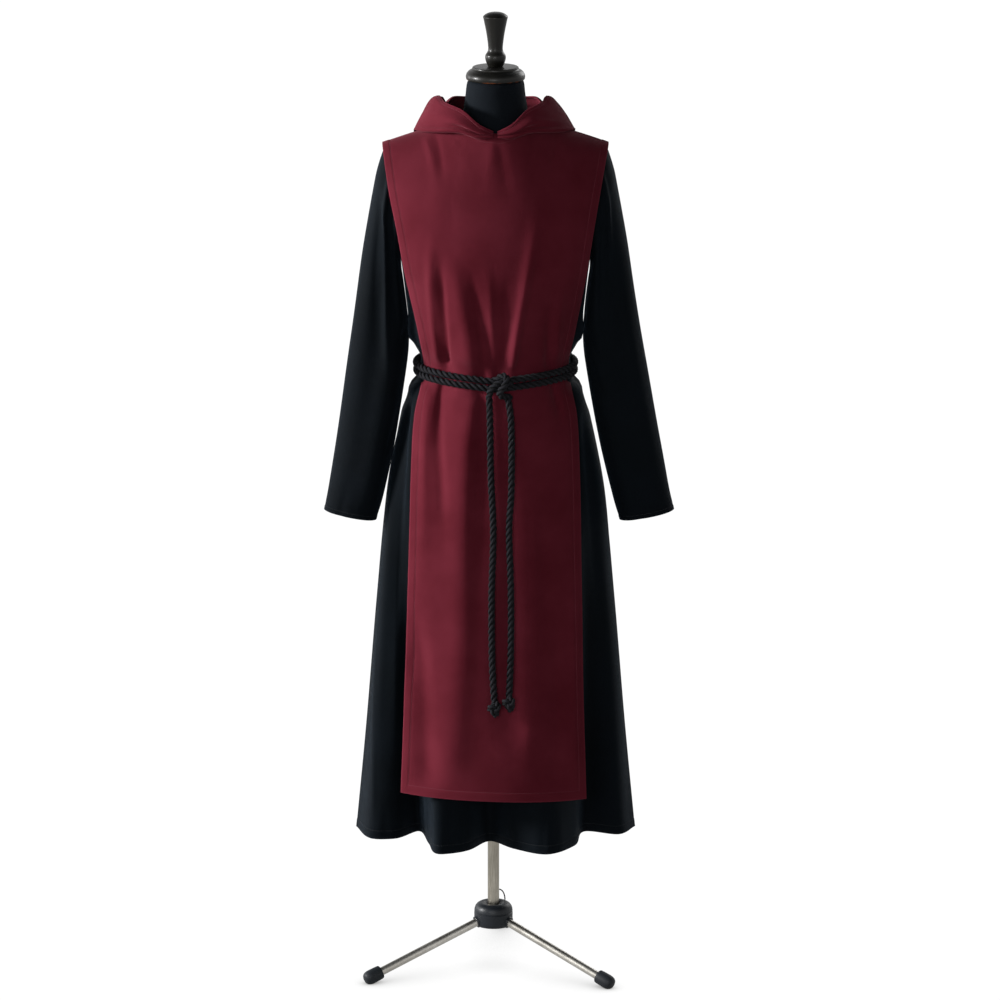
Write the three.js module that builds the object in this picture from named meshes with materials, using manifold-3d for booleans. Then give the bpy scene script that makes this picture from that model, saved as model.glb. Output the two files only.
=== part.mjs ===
// A monk's habit on a dress form: a black long-sleeved tunic, a wine-red hooded scapular over it, and a twisted
// rope belt, worn by a limbless dress form on a tripod stand. Millimetres, +Z up, and the front faces -Y.
import * as THREE from "three";
import { mergeVertices } from "three/addons/utils/BufferGeometryUtils.js";
import Module from "manifold-3d";

const wasm = await Module();
wasm.setup();

// ---- driving dimensions ----
const hemHeight = 265; // the tunic's hem above the floor
const beltHeight = 1127;
const armpitHeight = 1330;
const clothThickness = 1.6;
const seamGap = 0.4;
const ropeDiameter = 12.6;
const tunicNeck = 100; // radius of each neckline
const scapularNeck = 72;
const poleDiameter = 21;
const legDiameter = 15;
const legReach = 244; // from the pole's axis to the middle of a foot
const legTurn = THREE.MathUtils.degToRad(3.7); // how far the tripod is turned
const poleX = -4; // the pole stands a little to the side of the garment's middle

// The tunic's outer face: half of its width, and its reach to the front and to the back of the pole's axis.
const bodyLevels = [
  { z: 265, side: 254, front: 198, back: 196 },
  { z: 463, side: 235, front: 184, back: 184 },
  { z: 700, side: 215, front: 167, back: 170 },
  { z: 880, side: 197, front: 152, back: 158 },
  { z: 1007, side: 173, front: 133, back: 142 },
  { z: 1082, side: 153, front: 115, back: 116 },
  { z: 1104, side: 133, front: 107, back: 100 },
  { z: 1138, side: 132, front: 106, back: 99 },
  { z: 1172, side: 149, front: 113, back: 105 },
  { z: 1240, side: 159, front: 121, back: 110 },
  { z: 1330, side: 170, front: 123, back: 112 },
  { z: 1400, side: 189, front: 120, back: 111 },
  { z: 1460, side: 208, front: 117, back: 109 },
  { z: 1530, side: 219, front: 114, back: 107 },
  { z: 1610, side: 224, front: 112, back: 106 },
];
const shoulderLevels = [
  { x: -45, z: 1592 },
  { x: 0, z: 1608 },
  { x: 45, z: 1592 },
  { x: 80, z: 1566 },
  { x: 120, z: 1549 },
  { x: 160, z: 1536 },
  { x: 210, z: 1519 },
];
const sectionPower = 2.2; // 2 is an ellipse, and more is squarer

// The hem's flutes, from one side seam to the other: where each crest and valley lies at the hem, and the angle
// round the waist that it falls from (0 at the front or back, 90 at the sides).
const frontFlutes = [
  { name: "left seam", angle: -90, x: -254, y: 0 },
  { name: "left lobe", angle: -77, x: -224, y: -82 },
  { name: "left lobe's inside", angle: -65, x: -180, y: -82 },
  { name: "left recess", angle: -54, x: -139, y: -34 },
  { name: "left wall", angle: -44, x: -120, y: -112 },
  { name: "left crest", angle: -33, x: -103, y: -180 },
  { name: "inner slope", angle: -18, x: -52, y: -160 },
  { name: "middle valley", angle: -4, x: -10, y: -98 },
  { name: "right slope", angle: 9, x: 34, y: -148 },
  { name: "right crest", angle: 26, x: 92, y: -184 },
  { name: "right wall", angle: 44, x: 142, y: -128 },
  { name: "right recess", angle: 56, x: 162, y: -36 },
  { name: "right lobe", angle: 74, x: 224, y: -54 },
  { name: "right seam", angle: 90, x: 254, y: 0 },
];
const backFlutes = [
  { name: "left seam", angle: -90, x: -254, y: 0 },
  { name: "left lobe", angle: -72, x: -218, y: 84 },
  { name: "left recess", angle: -57, x: -160, y: 66 },
  { name: "left crest", angle: -38, x: -112, y: 166 },
  { name: "left valley", angle: -19, x: -54, y: 126 },
  { name: "middle crest", angle: 0, x: 4, y: 188 },
  { name: "right valley", angle: 19, x: 58, y: 130 },
  { name: "right crest", angle: 38, x: 110, y: 168 },
  { name: "right recess", angle: 57, x: 158, y: 64 },
  { name: "right lobe", angle: 72, x: 216, y: 86 },
  { name: "right seam", angle: 90, x: 254, y: 0 },
];
const fluteTop = 1040; // the flutes have died away at this height

// Creases that the belt gathers: where each crosses the belt, its lean per millimetre above and below it, its
// depth into the body (less than 0 stands out), its half width, and how far it runs up and down.
const frontGathers = [
  { x: -84, leanUp: -0.22, leanDown: -0.16, depth: 8, width: 13, up: 190, down: 300 },
  { x: 3, leanUp: -0.26, leanDown: 0, depth: 6, width: 12, up: 170, down: 40 },
  { x: 26, leanUp: 0.26, leanDown: 0, depth: -5, width: 15, up: 250, down: 20 },
  { x: -24, leanUp: 0, leanDown: 0.005, depth: 8, width: 14, up: 30, down: 600 },
  { x: 12, leanUp: 0, leanDown: 0.01, depth: 5, width: 10, up: 20, down: 330 },
  { x: 97, leanUp: -0.04, leanDown: 0.2, depth: 6, width: 9, up: 120, down: 130 },
];
const backGathers = [
  { x: -72, leanUp: -0.2, leanDown: -0.12, depth: 6, width: 13, up: 150, down: 260 },
  { x: 8, leanUp: 0.1, leanDown: 0.03, depth: 5, width: 14, up: 120, down: 380 },
  { x: 78, leanUp: 0.18, leanDown: 0.14, depth: 6, width: 13, up: 170, down: 240 },
];

// The scapular's side edges, from its shoulders to its hem.
const scapularEdges = [
  { z: 367, left: -170, right: 163 },
  { z: 560, left: -163, right: 157 },
  { z: 800, left: -155, right: 153 },
  { z: 960, left: -150, right: 150 },
  { z: 1050, left: -144, right: 145 },
  { z: 1127, left: -128, right: 130 },
  { z: 1200, left: -138, right: 142 },
  { z: 1300, left: -160, right: 161 },
  { z: 1380, left: -175, right: 174 },
  { z: 1450, left: -189, right: 186 },
  { z: 1530, left: -201, right: 201 },
];
const scapularStandOff = [
  { z: 367, out: 7 },
  { z: 700, out: 6 },
  { z: 1000, out: 5 },
  { z: 1085, out: 5.8 },
  { z: 1106, out: 4.3 },
  { z: 1135, out: 4 },
  { z: 1170, out: 3.9 },
  { z: 1300, out: 5.4 },
  { z: 1600, out: 6 },
];

// Each sleeve's rings from the armhole to the cuff, by their outer and inner points seen from the front, half
// of their depth, how far forward they hang, and how deep the hollow down the front is.
const sleeveRings = [
  { outX: 197, outZ: 1519, inX: 172, inZ: 1326, depth: 55, forward: 0, hollow: 0 },
  { outX: 208, outZ: 1492, inX: 176, inZ: 1306, depth: 54, forward: 0, hollow: 2 },
  { outX: 218, outZ: 1446, inX: 170, inZ: 1276, depth: 51, forward: 1, hollow: 6 },
  { outX: 235, outZ: 1348, inX: 162, inZ: 1224, depth: 47, forward: 4, hollow: 9 },
  { outX: 250, outZ: 1244, inX: 155, inZ: 1168, depth: 43, forward: 9, hollow: 10 },
  { outX: 265, outZ: 1138, inX: 162, inZ: 1102, depth: 41, forward: 14, hollow: 8 },
  { outX: 283, outZ: 1010, inX: 181, inZ: 984, depth: 38, forward: 18, hollow: 4 },
  { outX: 298, outZ: 915, inX: 201, inZ: 893, depth: 36, forward: 22, hollow: 2 },
  { outX: 308, outZ: 865, inX: 214, inZ: 846, depth: 34, forward: 24, hollow: 1 },
];
const leftSleeveOut = 1.04; // the wearer's left sleeve hangs a little further out

// The lowered hood, in planes through the neck's axis (0 at the front, 180 at the back). Each plane's cloth runs
// from the neck seam to the fold at its foot, out and up to the roll at its top, and in to its free edge.
const hoodPlanes = [
  {
    angle: 3, seamR: 75, seamZ: 1551, foldR: 80, foldZ: 1552, lean: 0,
    outR: 80, outZ: 1558, topR: 78, topZ: 1563, edgeR: 76, edgeZ: 1567,
  },
  {
    angle: 20, seamR: 77, seamZ: 1554, foldR: 88, foldZ: 1553, lean: 0,
    outR: 89, outZ: 1562, topR: 85, topZ: 1571, edgeR: 82, edgeZ: 1577,
  },
  {
    angle: 42, seamR: 79, seamZ: 1561, foldR: 100, foldZ: 1562, lean: 5,
    outR: 101, outZ: 1576, topR: 92, topZ: 1588, edgeR: 87, edgeZ: 1596,
  },
  {
    angle: 65, seamR: 82, seamZ: 1569, foldR: 119, foldZ: 1559, lean: 12,
    outR: 114, outZ: 1581, topR: 105, topZ: 1598, edgeR: 98, edgeZ: 1605,
  },
  {
    angle: 90, seamR: 84, seamZ: 1573, foldR: 145, foldZ: 1550, lean: 20,
    outR: 130, outZ: 1579, topR: 115, topZ: 1603, edgeR: 104, edgeZ: 1607,
  },
  {
    angle: 112, seamR: 84, seamZ: 1574, foldR: 149, foldZ: 1524, lean: 45,
    outR: 140, outZ: 1566, topR: 119, topZ: 1599, edgeR: 106, edgeZ: 1603,
  },
  {
    angle: 135, seamR: 84, seamZ: 1573, foldR: 150, foldZ: 1456, lean: 75,
    outR: 156, outZ: 1530, topR: 126, topZ: 1589, edgeR: 113, edgeZ: 1597,
  },
  {
    angle: 158, seamR: 84, seamZ: 1571, foldR: 143, foldZ: 1350, lean: 88,
    outR: 168, outZ: 1450, topR: 133, topZ: 1574, edgeR: 116, edgeZ: 1591,
  },
  {
    angle: 180, seamR: 84, seamZ: 1570, foldR: 140, foldZ: 1305, lean: 90,
    outR: 170, outZ: 1425, topR: 136, topZ: 1566, edgeR: 117, edgeZ: 1587,
  },
];
const hoodTurn = 6; // radius of the fold at the hood's foot

// ---- small helpers ----
const { lerp, degToRad, smoothstep } = THREE.MathUtils;
const range = (count) => Array.from({ length: count + 1 }, (_, i) => i / count);

// A smooth function through one named column of a table, by another.
function through(table, by, column) {
  const slope = (i) => {
    const before = table[Math.max(i - 1, 0)];
    const after = table[Math.min(i + 1, table.length - 1)];
    return (after[column] - before[column]) / (after[by] - before[by]);
  };
  return (at) => {
    let i = 0;
    while (i < table.length - 2 && at > table[i + 1][by]) i += 1;
    const [low, high] = [table[i], table[i + 1]];
    const span = high[by] - low[by];
    const t = THREE.MathUtils.clamp((at - low[by]) / span, 0, 1);
    const [t2, t3] = [t * t, t * t * t];
    return (
      (2 * t3 - 3 * t2 + 1) * low[column] +
      (t3 - 2 * t2 + t) * span * slope(i) +
      (3 * t2 - 2 * t3) * high[column] +
      (t3 - t2) * span * slope(i + 1)
    );
  };
}

function closedGeometry(points, triangles) {
  const geometry = new THREE.BufferGeometry();
  geometry.setAttribute(
    "position",
    new THREE.Float32BufferAttribute(points.flatMap((p) => [p.x, p.y, p.z]), 3),
  );
  let volume = 0;
  for (const [a, b, c] of triangles)
    volume += points[a].dot(new THREE.Vector3().crossVectors(points[b], points[c]));
  const facingOut = volume > 0 ? triangles : triangles.map(([a, b, c]) => [a, c, b]);
  geometry.setIndex(facingOut.flat());
  geometry.computeVertexNormals();
  return geometry;
}

// A cloth wall of even thickness from rows of points. `share` is how much of the thickness lies outside them,
// `round` joins each row's ends, and `seam(row, column)` names an axis that the wall's edge is square to.
function clothWall(rows, { thickness = clothThickness, share = 0, round = false, seam = () => "" } = {}) {
  const [last, columns] = [rows.length - 1, rows[0].length];
  const column = (j) => (round ? (j + columns) % columns : THREE.MathUtils.clamp(j, 0, columns - 1));
  const middle = new THREE.Vector3();
  rows.flat().forEach((p) => middle.addScaledVector(p, 1 / (rows.length * columns)));
  const normals = rows.map((row, i) =>
    row.map((_, j) => {
      const across = row[column(j + 1)].clone().sub(row[column(j - 1)]);
      const up = rows[Math.min(i + 1, last)][j].clone().sub(rows[Math.max(i - 1, 0)][j]);
      return across.cross(up).normalize();
    }),
  );
  let outward = 0;
  rows.forEach((row, i) =>
    row.forEach((p, j) => (outward += normals[i][j].dot(p.clone().sub(middle).setZ(0).normalize()))),
  );
  const points = [[], []];
  rows.forEach((row, i) =>
    row.forEach((p, j) => {
      const normal = normals[i][j].multiplyScalar(Math.sign(outward));
      for (const axis of seam(i, j)) normal[axis] = 0;
      normal.normalize();
      points[0].push(p.clone().addScaledVector(normal, thickness * share));
      points[1].push(p.clone().addScaledVector(normal, thickness * (share - 1)));
    }),
  );
  const at = (side, i, j) => side * rows.length * columns + i * columns + column(j);
  const triangles = [];
  const quad = (a, b, c, d) => triangles.push([a, b, c], [a, c, d]);
  const widths = round ? columns : columns - 1;
  for (let i = 0; i < last; i += 1)
    for (let j = 0; j < widths; j += 1) {
      quad(at(0, i, j), at(0, i, j + 1), at(0, i + 1, j + 1), at(0, i + 1, j));
      quad(at(1, i, j), at(1, i + 1, j), at(1, i + 1, j + 1), at(1, i, j + 1));
    }
  for (let j = 0; j < widths; j += 1) {
    quad(at(0, 0, j), at(1, 0, j), at(1, 0, j + 1), at(0, 0, j + 1));
    quad(at(0, last, j), at(0, last, j + 1), at(1, last, j + 1), at(1, last, j));
  }
  for (let i = 0; i < last && !round; i += 1) {
    quad(at(0, i, 0), at(0, i + 1, 0), at(1, i + 1, 0), at(1, i, 0));
    quad(at(0, i, widths), at(1, i, widths), at(1, i + 1, widths), at(0, i + 1, widths));
  }
  return closedGeometry(points.flat(), triangles);
}

// Solids for cutting and joining.
function solidOf(geometry) {
  const bare = geometry.index ? geometry.toNonIndexed() : geometry.clone();
  bare.deleteAttribute("normal");
  bare.deleteAttribute("uv");
  const merged = mergeVertices(bare, 1e-3);
  return new wasm.Manifold(
    new wasm.Mesh({
      numProp: 3,
      vertProperties: merged.attributes.position.array,
      triVerts: new Uint32Array(merged.index.array),
    }),
  );
}

function geometryOf(solid) {
  const largest = solid.decompose().sort((a, b) => b.volume() - a.volume())[0];
  const mesh = largest.getMesh();
  const geometry = new THREE.BufferGeometry();
  geometry.setAttribute("position", new THREE.BufferAttribute(mesh.vertProperties, 3));
  geometry.setIndex(new THREE.BufferAttribute(mesh.triVerts, 1));
  geometry.computeVertexNormals();
  return geometry;
}

// ---- the body's shape ----
const side = through(bodyLevels, "z", "side");
const front = through(bodyLevels, "z", "front");
const back = through(bodyLevels, "z", "back");
const standOff = through(scapularStandOff, "z", "out");

// The height of the tunic's ridge along the shoulders, by the distance from the neck's axis.
const ridge = through(shoulderLevels, "x", "z");
const shoulderLine = (x) => ridge(Math.abs(x));

// How far the body's section reaches to the front or back at x, where `grow` widens it.
function reach(x, z, facing, grow = 0, widen = grow) {
  const depth = (facing < 0 ? front(z) : back(z)) + grow;
  const across = Math.min(Math.abs(x) / (side(z) + widen), 1);
  return depth * (1 - across ** sectionPower) ** (1 / sectionPower);
}

// The tunic is drawn in under the scapular, so that its gathers have room.
function tucked(x, z) {
  const along = z > beltHeight ? (z - beltHeight) / 170 : (beltHeight - z) / 330;
  return 10 * Math.exp(-(along ** 2)) * (1 - smoothstep(Math.abs(x), 88, 128));
}

// How far the gathers at the belt pull the cloth in at x.
function gathered(x, z, facing) {
  const rise = z - beltHeight;
  let pulled = 0;
  for (const g of facing < 0 ? frontGathers : backGathers) {
    const middle = g.x + (rise > 0 ? g.leanUp : -g.leanDown) * rise;
    const width = g.width * (1 + Math.abs(rise) / 260);
    const fade = 1 - smoothstep(Math.abs(rise), 0, rise > 0 ? g.up : g.down);
    const swell = g.depth < 0 ? smoothstep(rise, 8, 50) : 1; // a ridge starts clear of the belt
    pulled += g.depth * swell * fade * Math.exp(-(((x - middle) / width) ** 2));
  }
  return pulled;
}

// A point of the shoulders' dome: `turn` is 0 at the armpits' height and 90 degrees on the shoulder line.
function domePoint(x, turn, facing, { grow = 0, widen = grow, raise = 0 } = {}) {
  const z = armpitHeight + (shoulderLine(x) + raise - armpitHeight) * Math.sin(turn);
  return new THREE.Vector3(x, facing * reach(x, z, facing, grow, widen) * Math.cos(turn), z);
}

// The dome's turn where it meets a neckline of this radius: a right angle on the shoulders.
function necklineTurn(x, radius, facing, options) {
  if (Math.abs(x) >= radius) return Math.PI / 2;
  const limit = Math.sqrt(radius ** 2 - x ** 2);
  let [low, high] = [0, Math.PI / 2];
  for (let step = 0; step < 30; step += 1) {
    const turn = (low + high) / 2;
    if (Math.abs(domePoint(x, turn, facing, options).y) > limit) low = turn;
    else high = turn;
  }
  return low;
}

// ---- the tunic ----
const armholeEdges = [
  { up: 0, x: 170 },
  { up: 0.12, x: 164 },
  { up: 0.3, x: 163 },
  { up: 0.5, x: 169 },
  { up: 0.75, x: 184 },
  { up: 1, x: 196 },
];
const armholeX = through(armholeEdges, "up", "x");

const tunicHeights = [265, 330, 440, 580, 730, 880, 990, 1050, 1084, 1104, 1138, 1168, 1225];
const tunicTurns = range(8);

function tunicLowPoint(flutes, u, z, facing) {
  const curve = flutes.curve.getPoint(u);
  const angle = degToRad(flutes.angle(u * (flutes.rows.length - 1)));
  const power = 2 / sectionPower;
  const ringX = side(z) * Math.sign(Math.sin(angle)) * Math.abs(Math.sin(angle)) ** power;
  const ringY = facing * (facing < 0 ? front(z) : back(z)) * Math.abs(Math.cos(angle)) ** power;
  const open = Math.max(0, (fluteTop - z) / (fluteTop - hemHeight)) ** 1.25;
  const depth = facing < 0 ? front(z) / front(hemHeight) : back(z) / back(hemHeight);
  const x = lerp(ringX, (curve.x * side(z)) / side(hemHeight), open);
  const y = lerp(ringY, curve.y * depth, open);
  return new THREE.Vector3(x, y - facing * tucked(x, z), z);
}

function tunicPanel(fluteRows, facing, columns) {
  const flutes = {
    rows: fluteRows,
    curve: new THREE.CatmullRomCurve3(fluteRows.map((f) => new THREE.Vector3(f.x, f.y, 0)), false, "centripetal"),
    angle: through(fluteRows.map((f, index) => ({ index, angle: f.angle })), "index", "angle"),
  };
  const atSeam = (p) => p.setY(facing * Math.max(facing * p.y, seamGap / 2));
  const across = range(columns);
  const low = tunicHeights.map((z) => across.map((u) => atSeam(tunicLowPoint(flutes, u, z, facing))));
  const power = 2 / sectionPower;
  const upper = tunicTurns.map((up) =>
    across.map((u) => {
      const angle = degToRad(flutes.angle(u * (fluteRows.length - 1)));
      const share = Math.sign(Math.sin(angle)) * Math.abs(Math.sin(angle)) ** power;
      const x = share * armholeX(up);
      return atSeam(domePoint(x, up * necklineTurn(x, tunicNeck, facing), facing));
    }),
  );
  const rows = [...low, ...upper];
  const seam = (i, j) => {
    if (i <= low.length) return j === 0 || j === columns ? "y" : "";
    return i === rows.length - 1 && Math.abs(rows[i][j].x) > tunicNeck ? "y" : "";
  };
  return clothWall(rows, { seam });
}

// The armhole's edge: it starts on the shoulder, goes down its front to the armpit, and comes up its back.
const armhole = [
  ...tunicTurns.toReversed().map((up) => domePoint(armholeX(up), (up * Math.PI) / 2, -1)),
  ...tunicTurns.slice(1, -1).map((up) => domePoint(armholeX(up), (up * Math.PI) / 2, 1)),
];

function sleeve(sign, outwards) {
  const column = (name) =>
    through(sleeveRings.map((ring, index) => ({ index, value: ring[name] })), "index", "value");
  const [outX, outZ, inX, inZ] = ["outX", "outZ", "inX", "inZ"].map(column);
  const [depth, forward, hollow] = ["depth", "forward", "hollow"].map(column);
  const stations = [0.35, 1, 1.6, 2.3, 3.1, 4, 4.8, 5.6, 6.4, 7.3, 8];
  const start = armhole.map((point) => point.clone().add(new THREE.Vector3(seamGap, 0, 0)));
  const ring = (k) =>
    start.map((first, j) => {
      const turn = (2 * Math.PI * j) / start.length;
      const middle = new THREE.Vector3((outX(k) + inX(k)) / 2, -forward(k), (outZ(k) + inZ(k)) / 2);
      const half = new THREE.Vector3((outX(k) - inX(k)) / 2, 0, (outZ(k) - inZ(k)) / 2);
      const dip = hollow(k) * Math.exp(-((Math.cos(turn) / 0.45) ** 2));
      const width = (depth(k) - dip) * Math.sin(turn);
      const point = middle.addScaledVector(half, Math.cos(turn)).add(new THREE.Vector3(0, -width, 0));
      const joined = 1 - smoothstep(k, 0, 1.6);
      return point.lerp(first, joined);
    });
  const rows = [start, ...stations.map(ring)].map((row) =>
    row.map((p) => p.setX(sign * p.x * lerp(1, outwards, smoothstep(armpitHeight - p.z, 0, 450)))),
  );
  return clothWall(rows, { round: true, seam: (i) => (i === 0 ? "x" : "") });
}

// ---- the scapular ----
const leftEdge = through(scapularEdges, "z", "left");
const rightEdge = through(scapularEdges, "z", "right");
const scapularHeights = [367, 430, 540, 670, 800, 910, 990, 1050, 1084, 1104, 1138, 1168, 1215, 1270];
const scapularDome = { grow: 6, widen: 25, raise: 6.5 };

function scapularPanel(facing, columns) {
  const across = range(columns).map((u) => Math.sin((u - 0.5) * 2.5) / Math.sin(1.25));
  const edgeAt = (share, z) => (share < 0 ? -share * leftEdge(z) : share * rightEdge(z));
  const atSeam = (p) => p.setY(facing * Math.max(facing * p.y, seamGap / 2));
  const low = scapularHeights.map((z) =>
    across.map((share) => {
      const x = edgeAt(share, z);
      const widen = standOff(z) + 20 * smoothstep(z, 1170, 1400);
      const y = reach(x, z, facing, standOff(z), widen) - gathered(x, z, facing);
      return new THREE.Vector3(x, facing * y, z);
    }),
  );
  const upper = range(7).map((up) =>
    across.map((share) => {
      const level = armpitHeight + (1530 - armpitHeight) * Math.sin((up * Math.PI) / 2);
      const x = edgeAt(share, level);
      const turn = up * necklineTurn(x, scapularNeck, facing, scapularDome);
      const pull = gathered(x, level, facing) * (1 - up);
      return atSeam(domePoint(x, turn, facing, scapularDome).add(new THREE.Vector3(0, -facing * pull, 0)));
    }),
  );
  const rows = [...low, ...upper];
  const seam = (i, j) => (i === rows.length - 1 && Math.abs(rows[i][j].x) > scapularNeck ? "y" : "");
  return clothWall(rows, { seam });
}

// ---- the hood ----
// Moves a point that is too near the scapular's shoulders straight out of them.
function clearOfShoulders(point, gap) {
  const facing = point.y < 0 ? -1 : 1;
  for (let step = 0; step < 3; step += 1) {
    const height = shoulderLine(point.x) + scapularDome.raise + gap - armpitHeight;
    const depth = reach(point.x, point.z, facing, scapularDome.grow + gap, scapularDome.widen + gap);
    const size = Math.hypot((point.z - armpitHeight) / height, point.y / Math.max(depth, 1));
    if (size >= 1 || point.z < armpitHeight) return point;
    point.y /= size;
    point.z = armpitHeight + (point.z - armpitHeight) / size;
  }
  return point;
}

function hoodHalf(sign, tuck) {
  const column = (name) => through(hoodPlanes, "angle", name);
  const drawnIn = (angle) => tuck * Math.sin(degToRad(angle)) ** 2;
  const [seamR, seamZ, fullR, foldZ] = ["seamR", "seamZ", "foldR", "foldZ"].map(column);
  const foldR = (angle) => fullR(angle) - 0.4 * drawnIn(angle);
  const [lean, outR, outZ] = ["lean", "outR", "outZ"].map(column);
  const [topR, topZ, edgeR, edgeZ] = ["topR", "topZ", "edgeR", "edgeZ"].map(column);
  const angles = [3, 14, 28, 42, 56, 70, 82, 94, 106, 118, 132, 147, 163, 180];
  const along = [0, 0.1, 0.2, 0.28, 0.34, 0.4, 0.46, 0.54, 0.64, 0.74, 0.87, 1];
  const rows = angles.map((angle) => {
    const tilt = degToRad(lean(angle));
    const turn = Math.min(hoodTurn, 0.5 * (foldR(angle) - seamR(angle)) + 1);
    const [tipR, tipZ] = [Math.cos(tilt), -Math.sin(tilt)];
    const [underR, underZ] = [-Math.sin(tilt), -Math.cos(tilt)];
    const [middleR, middleZ] = [foldR(angle) - turn * tipR, foldZ(angle) - turn * tipZ];
    const profile = new THREE.SplineCurve([
      new THREE.Vector2(seamR(angle), seamZ(angle)),
      new THREE.Vector2(
        lerp(seamR(angle), middleR + turn * underR, 0.5) + 0.05 * (seamZ(angle) - foldZ(angle)),
        lerp(seamZ(angle), middleZ + turn * underZ, 0.5),
      ),
      new THREE.Vector2(middleR + turn * underR, middleZ + turn * underZ),
      new THREE.Vector2(foldR(angle), foldZ(angle)),
      new THREE.Vector2(middleR - turn * underR, middleZ - turn * underZ),
      new THREE.Vector2(outR(angle) - 0.6 * drawnIn(angle), outZ(angle)),
      new THREE.Vector2(topR(angle) - drawnIn(angle), topZ(angle)),
      new THREE.Vector2(edgeR(angle) - drawnIn(angle), edgeZ(angle)),
    ]);
    const round = degToRad(angle);
    return along.map((share) => {
      const p = profile.getPoint(share);
      const x = angle === 180 ? seamGap / 2 : p.x * Math.sin(round);
      return clearOfShoulders(new THREE.Vector3(sign * x, -p.x * Math.cos(round), p.y), clothThickness / 2 + 3);
    });
  });
  return clothWall(rows, { share: 0.5, seam: (i) => (i === rows.length - 1 ? "x" : "") });
}

// ---- the dress form ----
const formBase = 815;
const formLevels = [815, 900, 1000, 1060, 1127, 1190, 1260];
const formFit = [
  { z: 815, in: 26 },
  { z: 900, in: 22 },
  { z: 1000, in: 18 },
  { z: 1120, in: 20 },
  { z: 1260, in: 18 },
  { z: 1330, in: 12 },
  { z: 1610, in: 9 },
];
const fit = through(formFit, "z", "in");
const shoulderFit = 4.5;

function torso() {
  const shares = range(16).map((u) => Math.cos(Math.PI * u));
  const section = (place) => [
    ...shares.map((share) => place(share, -1)),
    ...shares.slice(1, -1).reverse().map((share) => place(share, 1)),
  ];
  const bulge = (share) => (1 - Math.abs(share) ** sectionPower) ** (1 / sectionPower);
  const depth = (z, facing) => (facing < 0 ? front(z) : back(z)) - fit(z);
  const low = formLevels.map((z) =>
    section((share, facing) => {
      return new THREE.Vector3(share * (side(z) - fit(z)), facing * depth(z, facing) * bulge(share), z);
    }),
  );
  const upper = range(6).map((up) => {
    const turn = (up * Math.PI) / 2;
    const width = lerp(side(armpitHeight) - fit(armpitHeight), 187, Math.sin(turn) ** 1.5);
    return section((share, facing) => {
      const x = share * width;
      const level = armpitHeight + (shoulderLine(x) - armpitHeight) * Math.sin(turn);
      const y = facing * depth(level, facing) * bulge(share) * Math.cos(turn);
      const lower = shoulderFit + 13 * (1 - smoothstep(Math.abs(x), 80, 130));
      return new THREE.Vector3(x, y, level - lower * Math.sin(turn));
    });
  });
  const rows = [...low, ...upper];
  const ring = rows[0].length;
  const points = rows.flat();
  const triangles = [];
  for (let i = 0; i < rows.length - 1; i += 1)
    for (let j = 0; j < ring; j += 1) {
      const [a, b] = [i * ring + j, i * ring + ((j + 1) % ring)];
      triangles.push([a, b, b + ring], [a, b + ring, a + ring]);
    }
  const bottom = points.push(new THREE.Vector3(0, 0, formBase)) - 1;
  for (let j = 0; j < ring; j += 1) triangles.push([bottom, (j + 1) % ring, j]);
  return solidOf(closedGeometry(points, triangles)).add(solidOf(turned(neckProfile, 24)));
}

// ---- the belt ----
const ropeRadius = ropeDiameter / 2;
const wraps = [
  { name: "belt_upper", z: 1133.6, sag: 15 },
  { name: "belt_lower", z: 1120.4, sag: 15 },
];
const knotMiddle = new THREE.Vector3(11, 0, 1112);
// The knot's strands, from its middle: across, out of the body, and up.
const knotStrands = [
  {
    name: "over and down to the wearer's left",
    points: [[-22, 0, 7], [-12, 7, 12], [0, 12, 12], [9, 13, 3], [8, 12, -10], [12, 8, -22]],
  },
  {
    name: "under and down to the wearer's right",
    points: [[22, 0, -6], [12, 6, -12], [1, 9, -11], [-9, 10, -6], [-18, 9, -12], [-22, 7, -24]],
  },
  {
    name: "standing loop",
    points: [[-8, 1, -10], [-9, 8, 2], [-6, 13, 14], [3, 10, 20], [9, 2, 14]],
  },
];
const tails = [
  {
    name: "left",
    path: [
      { z: 1086, x: -11 },
      { z: 1060, x: -10 },
      { z: 950, x: -8 },
      { z: 860, x: -4 },
      { z: 740, x: -7 },
      { z: 620, x: -6 },
      { z: 548, x: -2 },
    ],
  },
  {
    name: "right",
    path: [
      { z: 1088, x: 23 },
      { z: 1055, x: 27 },
      { z: 930, x: 28 },
      { z: 860, x: 24 },
      { z: 760, x: 27 },
      { z: 640, x: 27 },
      { z: 557, x: 24 },
    ],
  },
];
const tailKnotRadius = 12;

// A solid rope along these points, with a step about every two diameters, and `longer` at each of its ends.
function rope(points, radius = ropeRadius, longer = 0) {
  for (const [end, next] of [[points[0], points[1]], [points.at(-1), points.at(-2)]])
    end.addScaledVector(end.clone().sub(next).normalize(), longer);
  const curve = new THREE.CatmullRomCurve3(points, false, "centripetal");
  const section = new THREE.Shape().absarc(0, 0, radius, 0, 2 * Math.PI, false);
  const steps = Math.ceil(curve.getLength() / 22) + 3;
  return solidOf(new THREE.ExtrudeGeometry(section, { curveSegments: 4, steps, extrudePath: curve }));
}

function wrapPoint(turn, wrap) {
  const power = 2 / sectionPower;
  const [across, out] = [Math.cos(turn), Math.sin(turn)];
  const z = wrap.z - (out < 0 ? wrap.sag * (1 - Math.abs(across) ** power) : 0);
  const widest = (size) => Math.max(size(z - 5), size(z), size(z + 5)) + standOff(z) + ropeRadius + 3;
  return new THREE.Vector3(
    widest(side) * Math.sign(across) * Math.abs(across) ** power,
    widest(out < 0 ? front : back) * Math.sign(out) * Math.abs(out) ** power,
    z,
  );
}

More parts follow.
